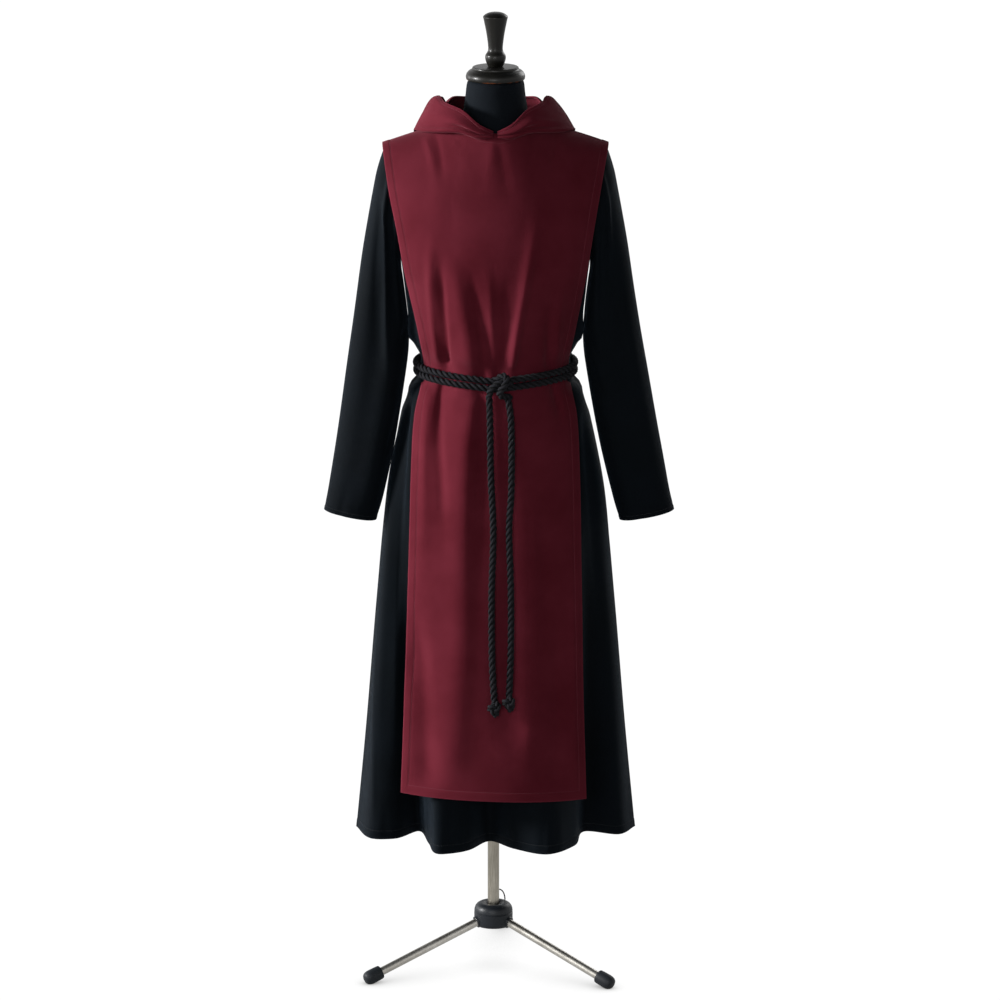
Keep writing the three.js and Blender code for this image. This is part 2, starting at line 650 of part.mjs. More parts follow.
function wrapRope(wrap) {
  const turns = range(44).map((u) => lerp(-82, 262, u));
  return rope(turns.map((turn) => wrapPoint(degToRad(turn), wrap)));
}

const knotBack = wrapPoint(-Math.PI / 2, wraps[0]).y;

function knot(extra = 0) {
  const strands = knotStrands.map((strand) =>
    rope(
      strand.points.map(([x, out, z]) => new THREE.Vector3(knotMiddle.x + x, knotBack - out, knotMiddle.z + z)),
      ropeRadius + extra,
      extra,
    ),
  );
  return strands.reduce((whole, strand) => whole.add(strand));
}

function tailPoints(tail) {
  return tail.path.map(({ x, z }) => {
    const lies = reach(x, z, -1, standOff(z)) - 0.5 * gathered(x, z, -1) + ropeRadius + 0.8;
    return new THREE.Vector3(x, Math.min(-lies, knotBack), z);
  });
}

function tailKnot(tail, extra = 0) {
  const end = tailPoints(tail).at(-1);
  const ball = new THREE.SphereGeometry(tailKnotRadius + extra, 14, 10);
  ball.rotateX(Math.PI / 2).scale(1, 1, 1.18);
  ball.translate(end.x, end.y - tailKnotRadius + ropeRadius, end.z - 8);
  return solidOf(ball);
}

// ---- the stand ----
const neckProfile = [
  [0, 1490],
  [61, 1490],
  [62.5, 1535],
  [61.5, 1560],
  [58.5, 1582],
  [55.5, 1602],
  [53, 1621],
  [51.5, 1641],
  [0, 1641],
];
const capProfile = [
  [0, 1641.4],
  [50.5, 1641.4],
  [52, 1645],
  [51.6, 1652],
  [48, 1658],
  [42, 1660.5],
  [40, 1662],
  [39, 1664.5],
  [0, 1664.5],
];
const finialProfile = [
  [0, 1664.9],
  [14, 1664.9],
  [15, 1670],
  [17.8, 1678],
  [17.8, 1685],
  [13.5, 1692],
  [12.7, 1698],
  [14.2, 1712],
  [17, 1730],
  [20.5, 1746],
  [22, 1753],
  [20, 1758],
  [12, 1761],
  [0, 1762],
];
const hubProfile = [
  [0, 78],
  [31, 78],
  [34.5, 82],
  [35, 92],
  [35, 107],
  [33, 114],
  [28, 119],
  [22, 121],
  [17, 120],
  [13, 116.5],
  [poleDiameter / 2 + 0.3, 116],
  [poleDiameter / 2 + 0.3, 84],
  [0, 84],
];
const footProfile = [
  [0, -17],
  [8, -15.5],
  [12, -11],
  [13, -4],
  [12.6, 17],
  [legDiameter / 2 + 0.3, 17],
  [legDiameter / 2 + 0.3, -6],
  [0, -6],
];
const legRise = 75; // from a foot's middle to the hub's middle
const legAxisTop = new THREE.Vector3(30, 0, 13 + legRise);

function turned(profile, segments) {
  const geometry = new THREE.LatheGeometry(profile.map(([r, z]) => new THREE.Vector2(r, z)), segments);
  return geometry.rotateX(Math.PI / 2);
}

// A leg's own frame: its z axis runs from the middle of the foot up to the hub.
function legFrame(index) {
  const foot = new THREE.Vector3(legReach, 0, 13);
  const up = legAxisTop.clone().sub(foot).normalize();
  const turn = new THREE.Quaternion().setFromUnitVectors(new THREE.Vector3(0, 0, 1), up);
  const frame = new THREE.Matrix4().compose(foot, turn, new THREE.Vector3(1, 1, 1));
  frame.premultiply(new THREE.Matrix4().makeRotationZ(degToRad(90 + index * 120) - legTurn));
  return frame.premultiply(new THREE.Matrix4().makeTranslation(poleX, 0, 0));
}

function legGeometry(index, extra = 0) {
  const [from, to] = [-5.7 - extra, Math.hypot(legReach - 30, legRise) + 10 + extra];
  const radius = legDiameter / 2 + extra;
  const tube = new THREE.CylinderGeometry(radius, radius, to - from, 16).rotateX(Math.PI / 2);
  return tube.translate(0, 0, (from + to) / 2).applyMatrix4(legFrame(index));
}

function footSolid(index) {
  const geometry = turned(footProfile, 16).applyMatrix4(legFrame(index));
  const aboveFloor = new THREE.BoxGeometry(1000, 1000, 200).translate(0, 0, 100);
  return solidOf(geometry).intersect(solidOf(aboveFloor));
}

function poleClip() {
  const arch = range(12).map((u) => {
    const turn = Math.PI * u;
    return new THREE.Vector3(poleX + 11 + 10 * Math.cos(turn), 14.5 - 1.5 * Math.cos(turn), 121 + 19 * Math.sin(turn));
  });
  return rope(arch, 1.1);
}

// ---- the whole, each piece by its name ----
const cloth = (colour) => new THREE.MeshStandardMaterial({ color: colour, roughness: 0.95, metalness: 0 });
const blackCloth = "#12151b";
const wineCloth = "#5a1f2a";
const group = new THREE.Group();

function place(name, shape, material) {
  const geometry = shape.isBufferGeometry ? shape : geometryOf(shape);
  const mesh = new THREE.Mesh(geometry, material.clone());
  mesh.name = name;
  group.add(mesh);
}

place("tunic_front", tunicPanel(frontFlutes, -1, 26), cloth(blackCloth));
place("tunic_back", tunicPanel(backFlutes, 1, 22), cloth(blackCloth));
place("sleeve_left", sleeve(1, leftSleeveOut), cloth(blackCloth));
place("sleeve_right", sleeve(-1, 1), cloth(blackCloth));
place("scapular_front", scapularPanel(-1, 20), cloth(wineCloth));
place("scapular_back", scapularPanel(1, 14), cloth(wineCloth));
place("hood_left", hoodHalf(1, 13), cloth(wineCloth));
place("hood_right", hoodHalf(-1, 4), cloth(wineCloth));

const twistedRope = cloth("#1d1e20");
const grownKnot = knot(0.35);
place("belt_knot", knot(), twistedRope);
for (const wrap of wraps) place(wrap.name, wrapRope(wrap).subtract(grownKnot), twistedRope);
for (const tail of tails) {
  place(`belt_tail_${tail.name}`, rope(tailPoints(tail)).subtract(grownKnot).subtract(tailKnot(tail, 0.3)), twistedRope);
  place(`tail_knot_${tail.name}`, tailKnot(tail), twistedRope);
}

const paintedWood = new THREE.MeshStandardMaterial({ color: "#2b2723", roughness: 0.4, metalness: 0.3 });
const chrome = new THREE.MeshStandardMaterial({ color: "#d9d9d6", roughness: 0.15, metalness: 1 });
const rubber = new THREE.MeshStandardMaterial({ color: "#2a323a", roughness: 0.6, metalness: 0 });
place("form_torso", torso(), cloth("#14181f"));
place("neck_cap", turned(capProfile, 24), paintedWood);
place("finial", turned(finialProfile, 18), paintedWood);

const poleLength = formBase - 0.4 - 84.4;
const pole = new THREE.CylinderGeometry(poleDiameter / 2, poleDiameter / 2, poleLength, 24).rotateX(Math.PI / 2);
place("pole", pole.translate(poleX, 0, 84.4 + poleLength / 2), chrome);
place("pole_clip", poleClip(), chrome);

let hub = solidOf(turned(hubProfile, 20).translate(poleX, 0, 0));
for (const index of [0, 1, 2]) {
  hub = hub.subtract(solidOf(legGeometry(index, 0.3)));
  place(`leg_${index + 1}`, legGeometry(index), chrome);
  place(`foot_${index + 1}`, footSolid(index), rubber);
}
place("hub", hub, rubber);

// The origin is the middle of the part's box, on the floor. The rope's tails hang free, so the box leaves them out.
const box = new THREE.Box3();
for (const mesh of group.children) if (!mesh.name.includes("tail")) box.expandByObject(mesh);
group.position.set(-(box.min.x + box.max.x) / 2, -(box.min.y + box.max.y) / 2, -box.min.z);

export default group;
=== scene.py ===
import math

import bpy
from mathutils import Matrix, Vector, noise


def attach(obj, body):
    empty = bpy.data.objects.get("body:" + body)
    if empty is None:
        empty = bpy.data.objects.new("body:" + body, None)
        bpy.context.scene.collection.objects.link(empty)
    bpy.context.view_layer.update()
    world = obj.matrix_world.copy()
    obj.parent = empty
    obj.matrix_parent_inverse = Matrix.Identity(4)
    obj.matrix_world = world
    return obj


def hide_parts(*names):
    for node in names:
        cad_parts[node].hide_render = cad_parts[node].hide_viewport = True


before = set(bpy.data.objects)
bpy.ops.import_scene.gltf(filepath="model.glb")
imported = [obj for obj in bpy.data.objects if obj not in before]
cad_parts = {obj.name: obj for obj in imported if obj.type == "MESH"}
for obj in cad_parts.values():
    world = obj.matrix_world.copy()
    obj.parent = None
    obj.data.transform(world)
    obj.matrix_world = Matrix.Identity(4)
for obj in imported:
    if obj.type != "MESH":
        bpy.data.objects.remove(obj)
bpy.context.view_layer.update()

print("frame loaded:", len(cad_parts), "nodes")

# The garment is drawn in millimetres about its own neck axis; this moves it into the part's frame.
axisShift = Vector((-6.16, -31.46, 0.0))
beltHeight = 1127
armpitHeight = 1330
clothThickness = 1.6
sectionPower = 2.2


def metres(point):
    return (Vector(point) + axisShift) / 1000


def lerp(a, b, t):
    return a + (b - a) * t


def smooth(t):
    t = min(max(t, 0.0), 1.0)
    return t * t * (3 - 2 * t)


def smoothBetween(value, low, high):
    return smooth((value - low) / (high - low))


def steps(first, last, count):
    return [lerp(first, last, i / count) for i in range(count + 1)]


# A smooth function through one column of a table, by another.
def through(rows, column, by=0):
    places = [row[by] for row in rows]
    values = [row[column] for row in rows]
    last = len(rows) - 1
    slopes = []
    for i in range(last + 1):
        before, after = max(i - 1, 0), min(i + 1, last)
        slopes.append((values[after] - values[before]) / (places[after] - places[before]))

    def value(at):
        i = 0
        while i < last - 1 and at > places[i + 1]:
            i += 1
        span = places[i + 1] - places[i]
        t = min(max((at - places[i]) / span, 0.0), 1.0)
        t2, t3 = t * t, t * t * t
        return ((2 * t3 - 3 * t2 + 1) * values[i] + (t3 - 2 * t2 + t) * span * slopes[i]
                + (3 * t2 - 2 * t3) * values[i + 1] + (t3 - t2) * span * slopes[i + 1])

    return value


# A point of the smooth curve through these points, at this share of its spans.
def curvePoint(points, share):
    spans = len(points) - 1
    at = min(max(share, 0.0), 1.0) * spans
    i = min(int(at), spans - 1)
    w = at - i
    p1, p2 = points[i], points[i + 1]
    p0 = points[i - 1] if i > 0 else p1 * 2 - p2
    p3 = points[i + 2] if i + 2 <= spans else p2 * 2 - p1
    d1 = max((p2 - p1).length ** 0.5, 1e-4)
    d0 = max((p1 - p0).length ** 0.5, 1e-4)
    d2 = max((p3 - p2).length ** 0.5, 1e-4)
    t1 = ((p1 - p0) / d0 - (p2 - p0) / (d0 + d1) + (p2 - p1) / d1) * d1
    t2 = ((p2 - p1) / d1 - (p3 - p1) / (d1 + d2) + (p3 - p2) / d2) * d1
    return p1 + t1 * w + (p2 * 3 - p1 * 3 - t1 * 2 - t2) * w ** 2 + (p1 * 2 - p2 * 2 + t1 + t2) * w ** 3


# ---- camera and light ----
studio = {
    "cameraPlace": (0.0018, -11.3615, 3.566),
    "cameraAim": (0.0018, -0.0315, 0.875),
    "lens": 232.9,
    "floorColour": "#6e6e6c",
    "contactShade": "#8c8c8a",
    "worldLow": "#ffffff",
    "worldHigh": "#5c6064",
    "worldLight": 0.09,
    "worldMirrored": 0.95,
    "lampAim": (0, 0, 0.95),
    "lamps": [
        {"name": "keyLamp", "place": (-5.6, -0.7, 2.5), "size": 0.95, "power": 525},
        {"name": "sideLamp", "place": (-4.4, 2.8, 1.6), "size": 1.4, "power": 40},
        {"name": "fillLamp", "place": (-1.0, -6.6, 2.4), "size": 2.4, "power": 98},
        {"name": "backLamp", "place": (2.8, 4.0, 3.0), "size": 2.2, "power": 60},
    ],
}


def channelToLinear(c):
    return c / 12.92 if c <= 0.04045 else ((c + 0.055) / 1.055) ** 2.4


# Turns an sRGB hex colour to linear.
def linear(colour):
    return tuple(channelToLinear(int(colour[i:i + 2], 16) / 255) for i in (1, 3, 5)) + (1.0,)


# Sets a node's inputs; each may be a value or another node's socket.
def setInputs(tree, node, inputs):
    for name, value in inputs.items():
        if isinstance(value, bpy.types.NodeSocket):
            tree.links.new(value, node.inputs[name])
        else:
            node.inputs[name].default_value = value


def addNode(tree, kind, inputs=None, **settings):
    made = tree.nodes.new("ShaderNode" + kind)
    for name, value in settings.items():
        setattr(made, name, value)
    setInputs(tree, made, inputs or {})
    return made


# The colour between two tones, by a node's output; a tone is a hex colour or another node's socket.
def mixTones(tree, share, low, high):
    low, high = (linear(tone) if isinstance(tone, str) else tone for tone in (low, high))
    return addNode(tree, "Mix", {0: share, 6: low, 7: high}, data_type="RGBA").outputs[2]


def addObject(name, data):
    made = bpy.data.objects.new(name, data)
    bpy.context.scene.collection.objects.link(made)
    return made


def buildStudio(look):
    camera = addObject("studioCamera", bpy.data.cameras.new("studioCamera"))
    camera.data.lens = look["lens"]
    camera.data.sensor_width = 36
    camera.data.clip_end = 100
    camera.location = look["cameraPlace"]
    aim = Vector(look["cameraAim"]) - camera.location
    camera.rotation_euler = aim.to_track_quat("-Z", "Y").to_euler()
    bpy.context.scene.camera = camera
    for lamp in look["lamps"]:
        light = bpy.data.lights.new(lamp["name"], "AREA")
        light.size = lamp["size"]
        light.energy = lamp["power"]
        holder = addObject(lamp["name"], light)
        holder.location = lamp["place"]
        turn = Vector(look["lampAim"]) - holder.location
        holder.rotation_euler = turn.to_track_quat("-Z", "Y").to_euler()
    world = bpy.data.worlds.new("studioWorld")
    world.use_nodes = True
    tree = world.node_tree
    tree.nodes.clear()
    place = addNode(tree, "TexCoord")
    height = addNode(tree, "SeparateXYZ", {0: place.outputs["Generated"]})
    ramp = addNode(tree, "MapRange", {"Value": height.outputs["Z"], "From Min": 0.3, "From Max": 0.75})
    sky = mixTones(tree, ramp.outputs[0], look["worldLow"], look["worldHigh"])
    # bright in shiny things, white at the horizon and darker overhead, and only a dim light on cloth
    path = addNode(tree, "LightPath")
    mirrored = addNode(tree, "Math", {0: path.outputs["Is Glossy Ray"], 1: path.outputs["Is Camera Ray"]},
                       operation="MAXIMUM")
    strength = addNode(tree, "MapRange", {"Value": mirrored.outputs[0], "To Min": look["worldLight"],
                                          "To Max": look["worldMirrored"]})
    glow = addNode(tree, "Background", {"Color": sky, "Strength": strength.outputs[0]})
    out = addNode(tree, "OutputWorld", {"Surface": glow.outputs[0]})
    out.is_active_output = True
    bpy.context.scene.world = world
    bpy.ops.object.select_all(action="DESELECT")
    bpy.ops.mesh.primitive_plane_add(size=60, location=(0, 0, 0))
    floor = bpy.context.object
    floor.name = "studioFloor"
    # a white sweep, seen as bright as the backdrop, with painted contact shade where something stands close
    # over it
    paint = bpy.data.materials.new("whitePaperSweep")
    paint.use_nodes = True
    tree = paint.node_tree
    shader = tree.nodes["Principled BSDF"]
    setInputs(tree, shader, {"Base Color": linear(look["floorColour"]), "Roughness": 0.9})
    close = addNode(tree, "AmbientOcclusion", {"Distance": 0.09}, samples=8)
    shade = mixTones(tree, close.outputs["AO"], look["contactShade"], "#ffffff")
    shown = addNode(tree, "Emission", {"Color": shade, "Strength": 1.04})
    path = addNode(tree, "LightPath")
    half = addNode(tree, "Math", {0: path.outputs["Is Glossy Ray"], 1: 0.55}, operation="MULTIPLY")
    seen = addNode(tree, "Math", {0: path.outputs["Is Camera Ray"], 1: half.outputs[0]}, operation="MAXIMUM")
    mixed = addNode(tree, "MixShader", {0: seen.outputs[0], 1: shader.outputs[0], 2: shown.outputs[0]})
    tree.links.new(mixed.outputs[0], tree.nodes["Material Output"].inputs["Surface"])
    floor.data.materials.append(paint)
    bpy.context.scene.view_settings.view_transform = "Standard"


buildStudio(studio)
print("studio ready")


# ---- materials ----
def newMaterial(name):
    material = bpy.data.materials.new(name)
    material.use_nodes = True
    return material, material.node_tree, material.node_tree.nodes["Principled BSDF"]


# each hem tone is lighter than its cloth: partly wear, partly a painted highlight along the hems
wineTwill = {
    "light": "#742836", "dark": "#5a1723", "hemWearAndHighlightTone": "#7c2b3a", "twillPitch": 1.1, "bump": 0.6,
    "sheen": 0.36, "sheenTint": "#b8808a", "sheenRoughness": 0.4, "roughness": 0.8, "specular": 0.06,
}
blackCloth = {
    "light": "#0c1218", "dark": "#05090d", "hemWearAndHighlightTone": "#11171d", "twillPitch": 1.0, "bump": 0.45,
    "sheen": 0.24, "sheenTint": "#74879c", "sheenRoughness": 0.35, "roughness": 0.7, "specular": 0.05,
}
formJersey = {
    "light": "#161b21", "dark": "#0c1015", "hemWearAndHighlightTone": "#12151a", "twillPitch": 1.2, "bump": 0.3,
    "sheen": 0.08, "sheenTint": "#6b7886", "sheenRoughness": 0.5, "roughness": 0.85, "specular": 0.08,
}
# the third tone is a painted shade colour for the grooves between the rope's strands
ropeLook = {"light": "#2b2b31", "dark": "#0f0f13", "grooveShadeTone": "#020203", "yarnPitch": 1.3, "yarnLean": 24}


# Woven wool cloth: fine diagonal ribs, soft mottling and a short nap, with its hems lighter: partly wear and
# partly painted highlight where the edges catch the light. `onUv` follows the piece's own cut.
def clothMaterial(name, look, onUv=True):
    material, tree, shader = newMaterial(name)
    place = addNode(tree, "TexCoord")
    where = place.outputs["UV" if onUv else "Object"]
    # a wave has a period of 0.314 / scale, and the ribs lean by 58 degrees, as on a steep twill
    turned = addNode(tree, "Mapping", {"Vector": where, "Rotation": (0, 0, math.radians(-32))})
    ribs = addNode(tree, "TexWave", {"Vector": turned.outputs[0], "Scale": 314 / look["twillPitch"],
                                     "Distortion": 1.6, "Detail": 2.0, "Detail Scale": 1.4})
    nap = addNode(tree, "TexNoise", {"Vector": where, "Scale": 900.0, "Detail": 3.0, "Roughness": 0.7})
    slub = addNode(tree, "TexNoise", {"Vector": where, "Scale": 9.0, "Detail": 5.0, "Roughness": 0.55})
    mottle = addNode(tree, "Math", {0: slub.outputs["Fac"], 1: nap.outputs["Fac"]}, operation="MULTIPLY")
    spread = addNode(tree, "MapRange", {"Value": mottle.outputs[0], "From Min": 0.12, "From Max": 0.42})
    tone = mixTones(tree, spread.outputs[0], look["dark"], look["light"])
    # the hem tone is mixed in along hems and rims: partly wear, partly a painted highlight where the edges
    # catch light
    edge = addNode(tree, "Attribute", attribute_name="hemWearAndHighlight")
    height = addNode(tree, "Math", {0: ribs.outputs["Fac"], 1: nap.outputs["Fac"]}, operation="ADD")
    bump = addNode(tree, "Bump", {"Height": height.outputs[0], "Strength": look["bump"], "Distance": 0.00035})
    setInputs(tree, shader, {
        "Base Color": mixTones(tree, edge.outputs["Fac"], tone, look["hemWearAndHighlightTone"]), "Normal": bump.outputs[0],
        "Roughness": look["roughness"], "Specular IOR Level": look["specular"], "Sheen Weight": look["sheen"],
        "Sheen Roughness": look["sheenRoughness"], "Sheen Tint": linear(look["sheenTint"]),
    })
    return material


# Spun rope yarn: lines of yarn wound against the strand, with fuzz, and painted shade on the strands' inner
# sides in the grooves.
def ropeMaterial(name, look):
    material, tree, shader = newMaterial(name)
    place = addNode(tree, "TexCoord")
    lean = (0, 0, math.radians(look["yarnLean"]))
    turned = addNode(tree, "Mapping", {"Vector": place.outputs["UV"], "Rotation": lean})
    yarn = addNode(tree, "TexWave", {"Vector": turned.outputs[0], "Scale": 314 / look["yarnPitch"],
                                     "Distortion": 2.0, "Detail": 2.0})
    fuzz = addNode(tree, "TexNoise", {"Vector": place.outputs["Object"], "Scale": 1400.0, "Detail": 3.0})
    tone = mixTones(tree, yarn.outputs["Fac"], look["dark"], look["light"])
    # painted shade: darker down in the grooves, where each strand faces the rope's axis
    grooveShade = addNode(tree, "Attribute", attribute_name="grooveShade")
    height = addNode(tree, "Math", {0: yarn.outputs["Fac"], 1: fuzz.outputs["Fac"]}, operation="ADD")
    bump = addNode(tree, "Bump", {"Height": height.outputs[0], "Strength": 0.6, "Distance": 0.0005})
    setInputs(tree, shader, {
        "Base Color": mixTones(tree, grooveShade.outputs["Fac"], tone, look["grooveShadeTone"]), "Normal": bump.outputs[0],
        "Roughness": 0.75, "Specular IOR Level": 0.15, "Sheen Weight": 0.08, "Sheen Roughness": 0.3,
        "Sheen Tint": linear("#8a8f96"),
    })
    return material


wineCloth = clothMaterial("wineWoolTwill", wineTwill)
tunicCloth = clothMaterial("blackWoolBlend", blackCloth)
jerseyCloth = clothMaterial("knittedFormJersey", formJersey, onUv=False)
ropeYarn = ropeMaterial("charcoalSpunRope", ropeLook)
print("materials ready")

# ---- the garment's measures, as cut and hung ----
# height, half width, reach to the front, reach to the back
bodyLevels = [
    (265, 254, 198, 196), (463, 235, 184, 184), (700, 215, 167, 170), (880, 197, 152, 158),
    (1007, 173, 133, 142), (1082, 153, 115, 116), (1104, 133, 107, 100), (1138, 132, 106, 99),
    (1172, 149, 113, 105), (1240, 159, 121, 110), (1330, 170, 123, 112), (1400, 189, 120, 111),
    (1460, 208, 117, 109), (1530, 219, 114, 107), (1610, 224, 112, 106),
]
side, front, back = (through(bodyLevels, column) for column in (1, 2, 3))
shoulderRidge = through([(-45, 1592), (0, 1608), (45, 1592), (80, 1566), (120, 1549), (160, 1536),
                         (210, 1519)], 1)
scapularStandOff = through([(367, 7), (700, 6), (1000, 5), (1085, 5.8), (1106, 4.3), (1135, 4), (1170, 3.9),
                            (1300, 5.4), (1600, 6)], 1)
# the hem's flutes: angle round the waist, and the place of each crest and valley at the hem
frontFlutes = [(-90, -254, 0), (-77, -224, -82), (-65, -180, -82), (-54, -139, -34), (-44, -120, -112),
               (-33, -103, -180), (-18, -52, -160), (-4, -10, -98), (9, 34, -148), (26, 92, -184),
               (44, 142, -128), (56, 162, -36), (74, 224, -54), (90, 254, 0)]
backFlutes = [
    (-90, -254, 0), (-72, -218, 84), (-57, -160, 66), (-38, -112, 166), (-19, -54, 126), (0, 4, 188),
    (19, 58, 130), (38, 110, 168), (57, 158, 64), (72, 216, 86), (90, 254, 0),
]
# the belt's gathers: place, lean above and below, depth, half width, run up and down
frontGathers = [
    (-84, -0.22, -0.16, 8, 13, 190, 300), (3, -0.26, 0, 6, 12, 170, 40), (26, 0.26, 0, -5, 15, 250, 20),
    (-24, 0, 0.005, 8, 14, 30, 600), (12, 0, 0.01, 5, 10, 20, 330), (97, -0.04, 0.2, 6, 9, 120, 130),
]
backGathers = [
    (-72, -0.2, -0.12, 6, 13, 150, 260), (8, 0.1, 0.03, 5, 14, 120, 380), (78, 0.18, 0.14, 6, 13, 170, 240),
]


def reach(x, z, facing, grow=0.0, widen=None):
    widen = grow if widen is None else widen
    depth = (front(z) if facing < 0 else back(z)) + grow
    across = min(abs(x) / (side(z) + widen), 1)
    return depth * (1 - across ** sectionPower) ** (1 / sectionPower)


def tucked(x, z):
    along = (z - beltHeight) / 170 if z > beltHeight else (beltHeight - z) / 330
    return 10 * math.exp(-along ** 2) * (1 - smoothBetween(abs(x), 88, 128))


def gathered(x, z, facing):
    rise = z - beltHeight
    pulled = 0
    for place, leanUp, leanDown, depth, width, up, down in frontGathers if facing < 0 else backGathers:
        middle = place + (leanUp if rise > 0 else -leanDown) * rise
        wide = width * (1 + abs(rise) / 260)
        fade = 1 - smooth(abs(rise) / (up if rise > 0 else down))
        swell = smoothBetween(rise, 8, 50) if depth < 0 else 1
        pulled += depth * swell * fade * math.exp(-((x - middle) / wide) ** 2)
    return pulled


def domePoint(x, turn, facing, grow=0.0, widen=0.0, rise=0.0):
    z = armpitHeight + (shoulderRidge(abs(x)) + rise - armpitHeight) * math.sin(turn)
    return Vector((x, facing * reach(x, z, facing, grow, widen) * math.cos(turn), z))


def necklineTurn(x, radius, facing, **dome):
    if abs(x) >= radius:
        return math.pi / 2
    limit = math.sqrt(radius ** 2 - x ** 2)
    low, high = 0, math.pi / 2
    for _ in range(22):
        turn = (low + high) / 2
        if abs(domePoint(x, turn, facing, **dome).y) > limit:
            low = turn
        else:
            high = turn
    return low


# Soft troughs (depth below 0) and ridges, placed one by one: each follows a path of (along, across) places,
# fades out over the two lengths in `fade`, and its half width goes from its low end's to its high end's.
def creaseField(rows):
    made = []
    for row in rows:
        path = sorted(row["path"])
        made.append((path[0][0], path[-1][0], through(path, 1), row))

    def field(across, along):
        total = 0.0
        for low, high, middle, row in made:
            if low < along < high:
                fade = smooth((along - low) / row["fade"][0]) * smooth((high - along) / row["fade"][1])
                width = lerp(row["width"][0], row["width"][1], (along - low) / (high - low))
                off = (across - middle(along)) / width
                off *= row.get("steep", 1) if off > 0 else 1
                total += row["depth"] * fade * math.exp(-off * off)
        return total

    return field


# Where a hem is folded and stitched down: raised out to the stitch line, which sinks in.
def hemRelief(distance, band):
    raised = 1 - smoothBetween(distance, band - 0.6, band + 1.2)
    sunk = math.exp(-((distance - band) / 1.1) ** 2)
    return 0.55 * raised - 0.55 * sunk


# A thin shell of cloth from rows of points. `shape(i, j)` gives how far a point moves out, how much more its
# outer face does, and how far its hem is lightened, partly wear and partly painted highlight; `share` is how
# much of the thickness lies outside the rows.
# It returns the piece, its area in square metres, and its outer face's points and normals.
def clothShell(name, rows, shape, tube=False, share=0.0):
    count, width = len(rows), len(rows[0])
    wide = width if tube else width - 1

    def column(j):
        return j % width if tube else min(max(j, 0), width - 1)

    middle = sum((p for row in rows for p in row), Vector()) / (count * width)
    normals, outward = [], 0.0
    for i, row in enumerate(rows):
        line = []
        for j, p in enumerate(row):
            across = row[column(j + 1)] - row[column(j - 1)]
            up = rows[min(i + 1, count - 1)][j] - rows[max(i - 1, 0)][j]
            line.append(across.cross(up).normalized())
            outward += line[-1].dot((p - middle).to_2d().to_3d().normalized())
        normals.append(line)
    sign = 1 if outward > 0 else -1
    outer, inner, hemShineAndWear = [], [], []
    for i, row in enumerate(rows):
        for j, p in enumerate(row):
            normals[i][j] *= sign
            out, proud, edge = shape(i, j)
            outer.append(p + normals[i][j] * (clothThickness * share + out + proud))
            inner.append(p + normals[i][j] * (clothThickness * (share - 1) + out))
            hemShineAndWear.append(edge)
    points, size = outer + inner, count * width
    # the cut's own coordinates: across each row from its middle, and up the middle column
    half, acrosses, ups, rise = width // 2, [], [], 0.0
    for i, row in enumerate(rows):
        rise += (row[half] - rows[max(i - 1, 0)][half]).length
        ups.append(rise)
        along = [0.0]
        for j in range(1, wide + 1):
            along.append(along[-1] + (row[column(j)] - row[j - 1]).length)
        acrosses.append([a - along[half] for a in along])
    faces, spots = [], []

    def addFace(corners, places):
        faces.append(corners if sign > 0 else corners[::-1])
        spots.extend(places if sign > 0 else places[::-1])

    def at(spot):
        return spot[0] * width + column(spot[1])

    for i in range(count - 1):
        for j in range(wide):
            places = [(i, j), (i, j + 1), (i + 1, j + 1), (i + 1, j)]
            addFace([at(spot) for spot in places], places)
            addFace([size + at(spot) for spot in places[::-1]], places[::-1])
    # each rim is rounded by a middle line that stands a little past the edge
    last = count - 1
    if tube:
        rims = [[(0, j) for j in range(width + 1)], [(last, j) for j in range(width, -1, -1)]]
    else:
        rims = [[(0, j) for j in range(width)] + [(i, wide) for i in range(1, count)]
                + [(last, j) for j in range(wide - 1, -1, -1)] + [(i, 0) for i in range(last - 1, -1, -1)]]
    for rim in rims:
        first, around = len(points), len(rim) - 1
        for spot in rim[:-1]:
            i, j = spot[0], column(spot[1])
            inside = Vector()
            if i in (0, last):
                inside += rows[1 if i == 0 else last - 1][j] - rows[i][j]
            if not tube and j in (0, wide):
                inside += rows[i][1 if j == 0 else wide - 1] - rows[i][j]
            points.append((points[at(spot)] + points[size + at(spot)]) / 2 - inside.normalized() * 0.5)
        for k in range(around):
            here, there = rim[k], rim[k + 1]
            a, b, c, d = at(here), at(there), first + k, first + (k + 1) % around
            addFace([b, a, c, d], [there, here, here, there])
            addFace([size + a, size + b, d, c], [here, there, there, here])
    mesh = bpy.data.meshes.new(name)
    mesh.from_pydata([metres(p) for p in points], [], faces)
    cut = mesh.uv_layers.new(name="cut")
    cut.data.foreach_set("uv", [c / 1000 for i, j in spots for c in (acrosses[i][j], ups[i])])
    # hems and rounded rims carry the lighter hem tone: partly wear, partly painted highlight
    edge = mesh.attributes.new("hemWearAndHighlight", "FLOAT", "POINT")
    edge.data.foreach_set("value", hemShineAndWear * 2 + [1.0] * (len(points) - 2 * size))
    mesh.polygons.foreach_set("use_smooth", [True] * len(mesh.polygons))
    piece = addObject(name, mesh)
    area = sum((rows[i + 1][j] - rows[i][j]).cross(rows[i][column(j + 1)] - rows[i][j]).length
               for i in range(last) for j in range(wide)) / 1e6
    face = [[(outer[i * width + j], normals[i][j]) for j in range(width)] for i in range(count)]
    return piece, area, face


# A slow, uneven lie of the cloth.
def uneven(across, along, seed, size=95.0, amount=0.9):
    return amount * noise.noise(Vector((across / size, along / (size * 1.7), seed)))


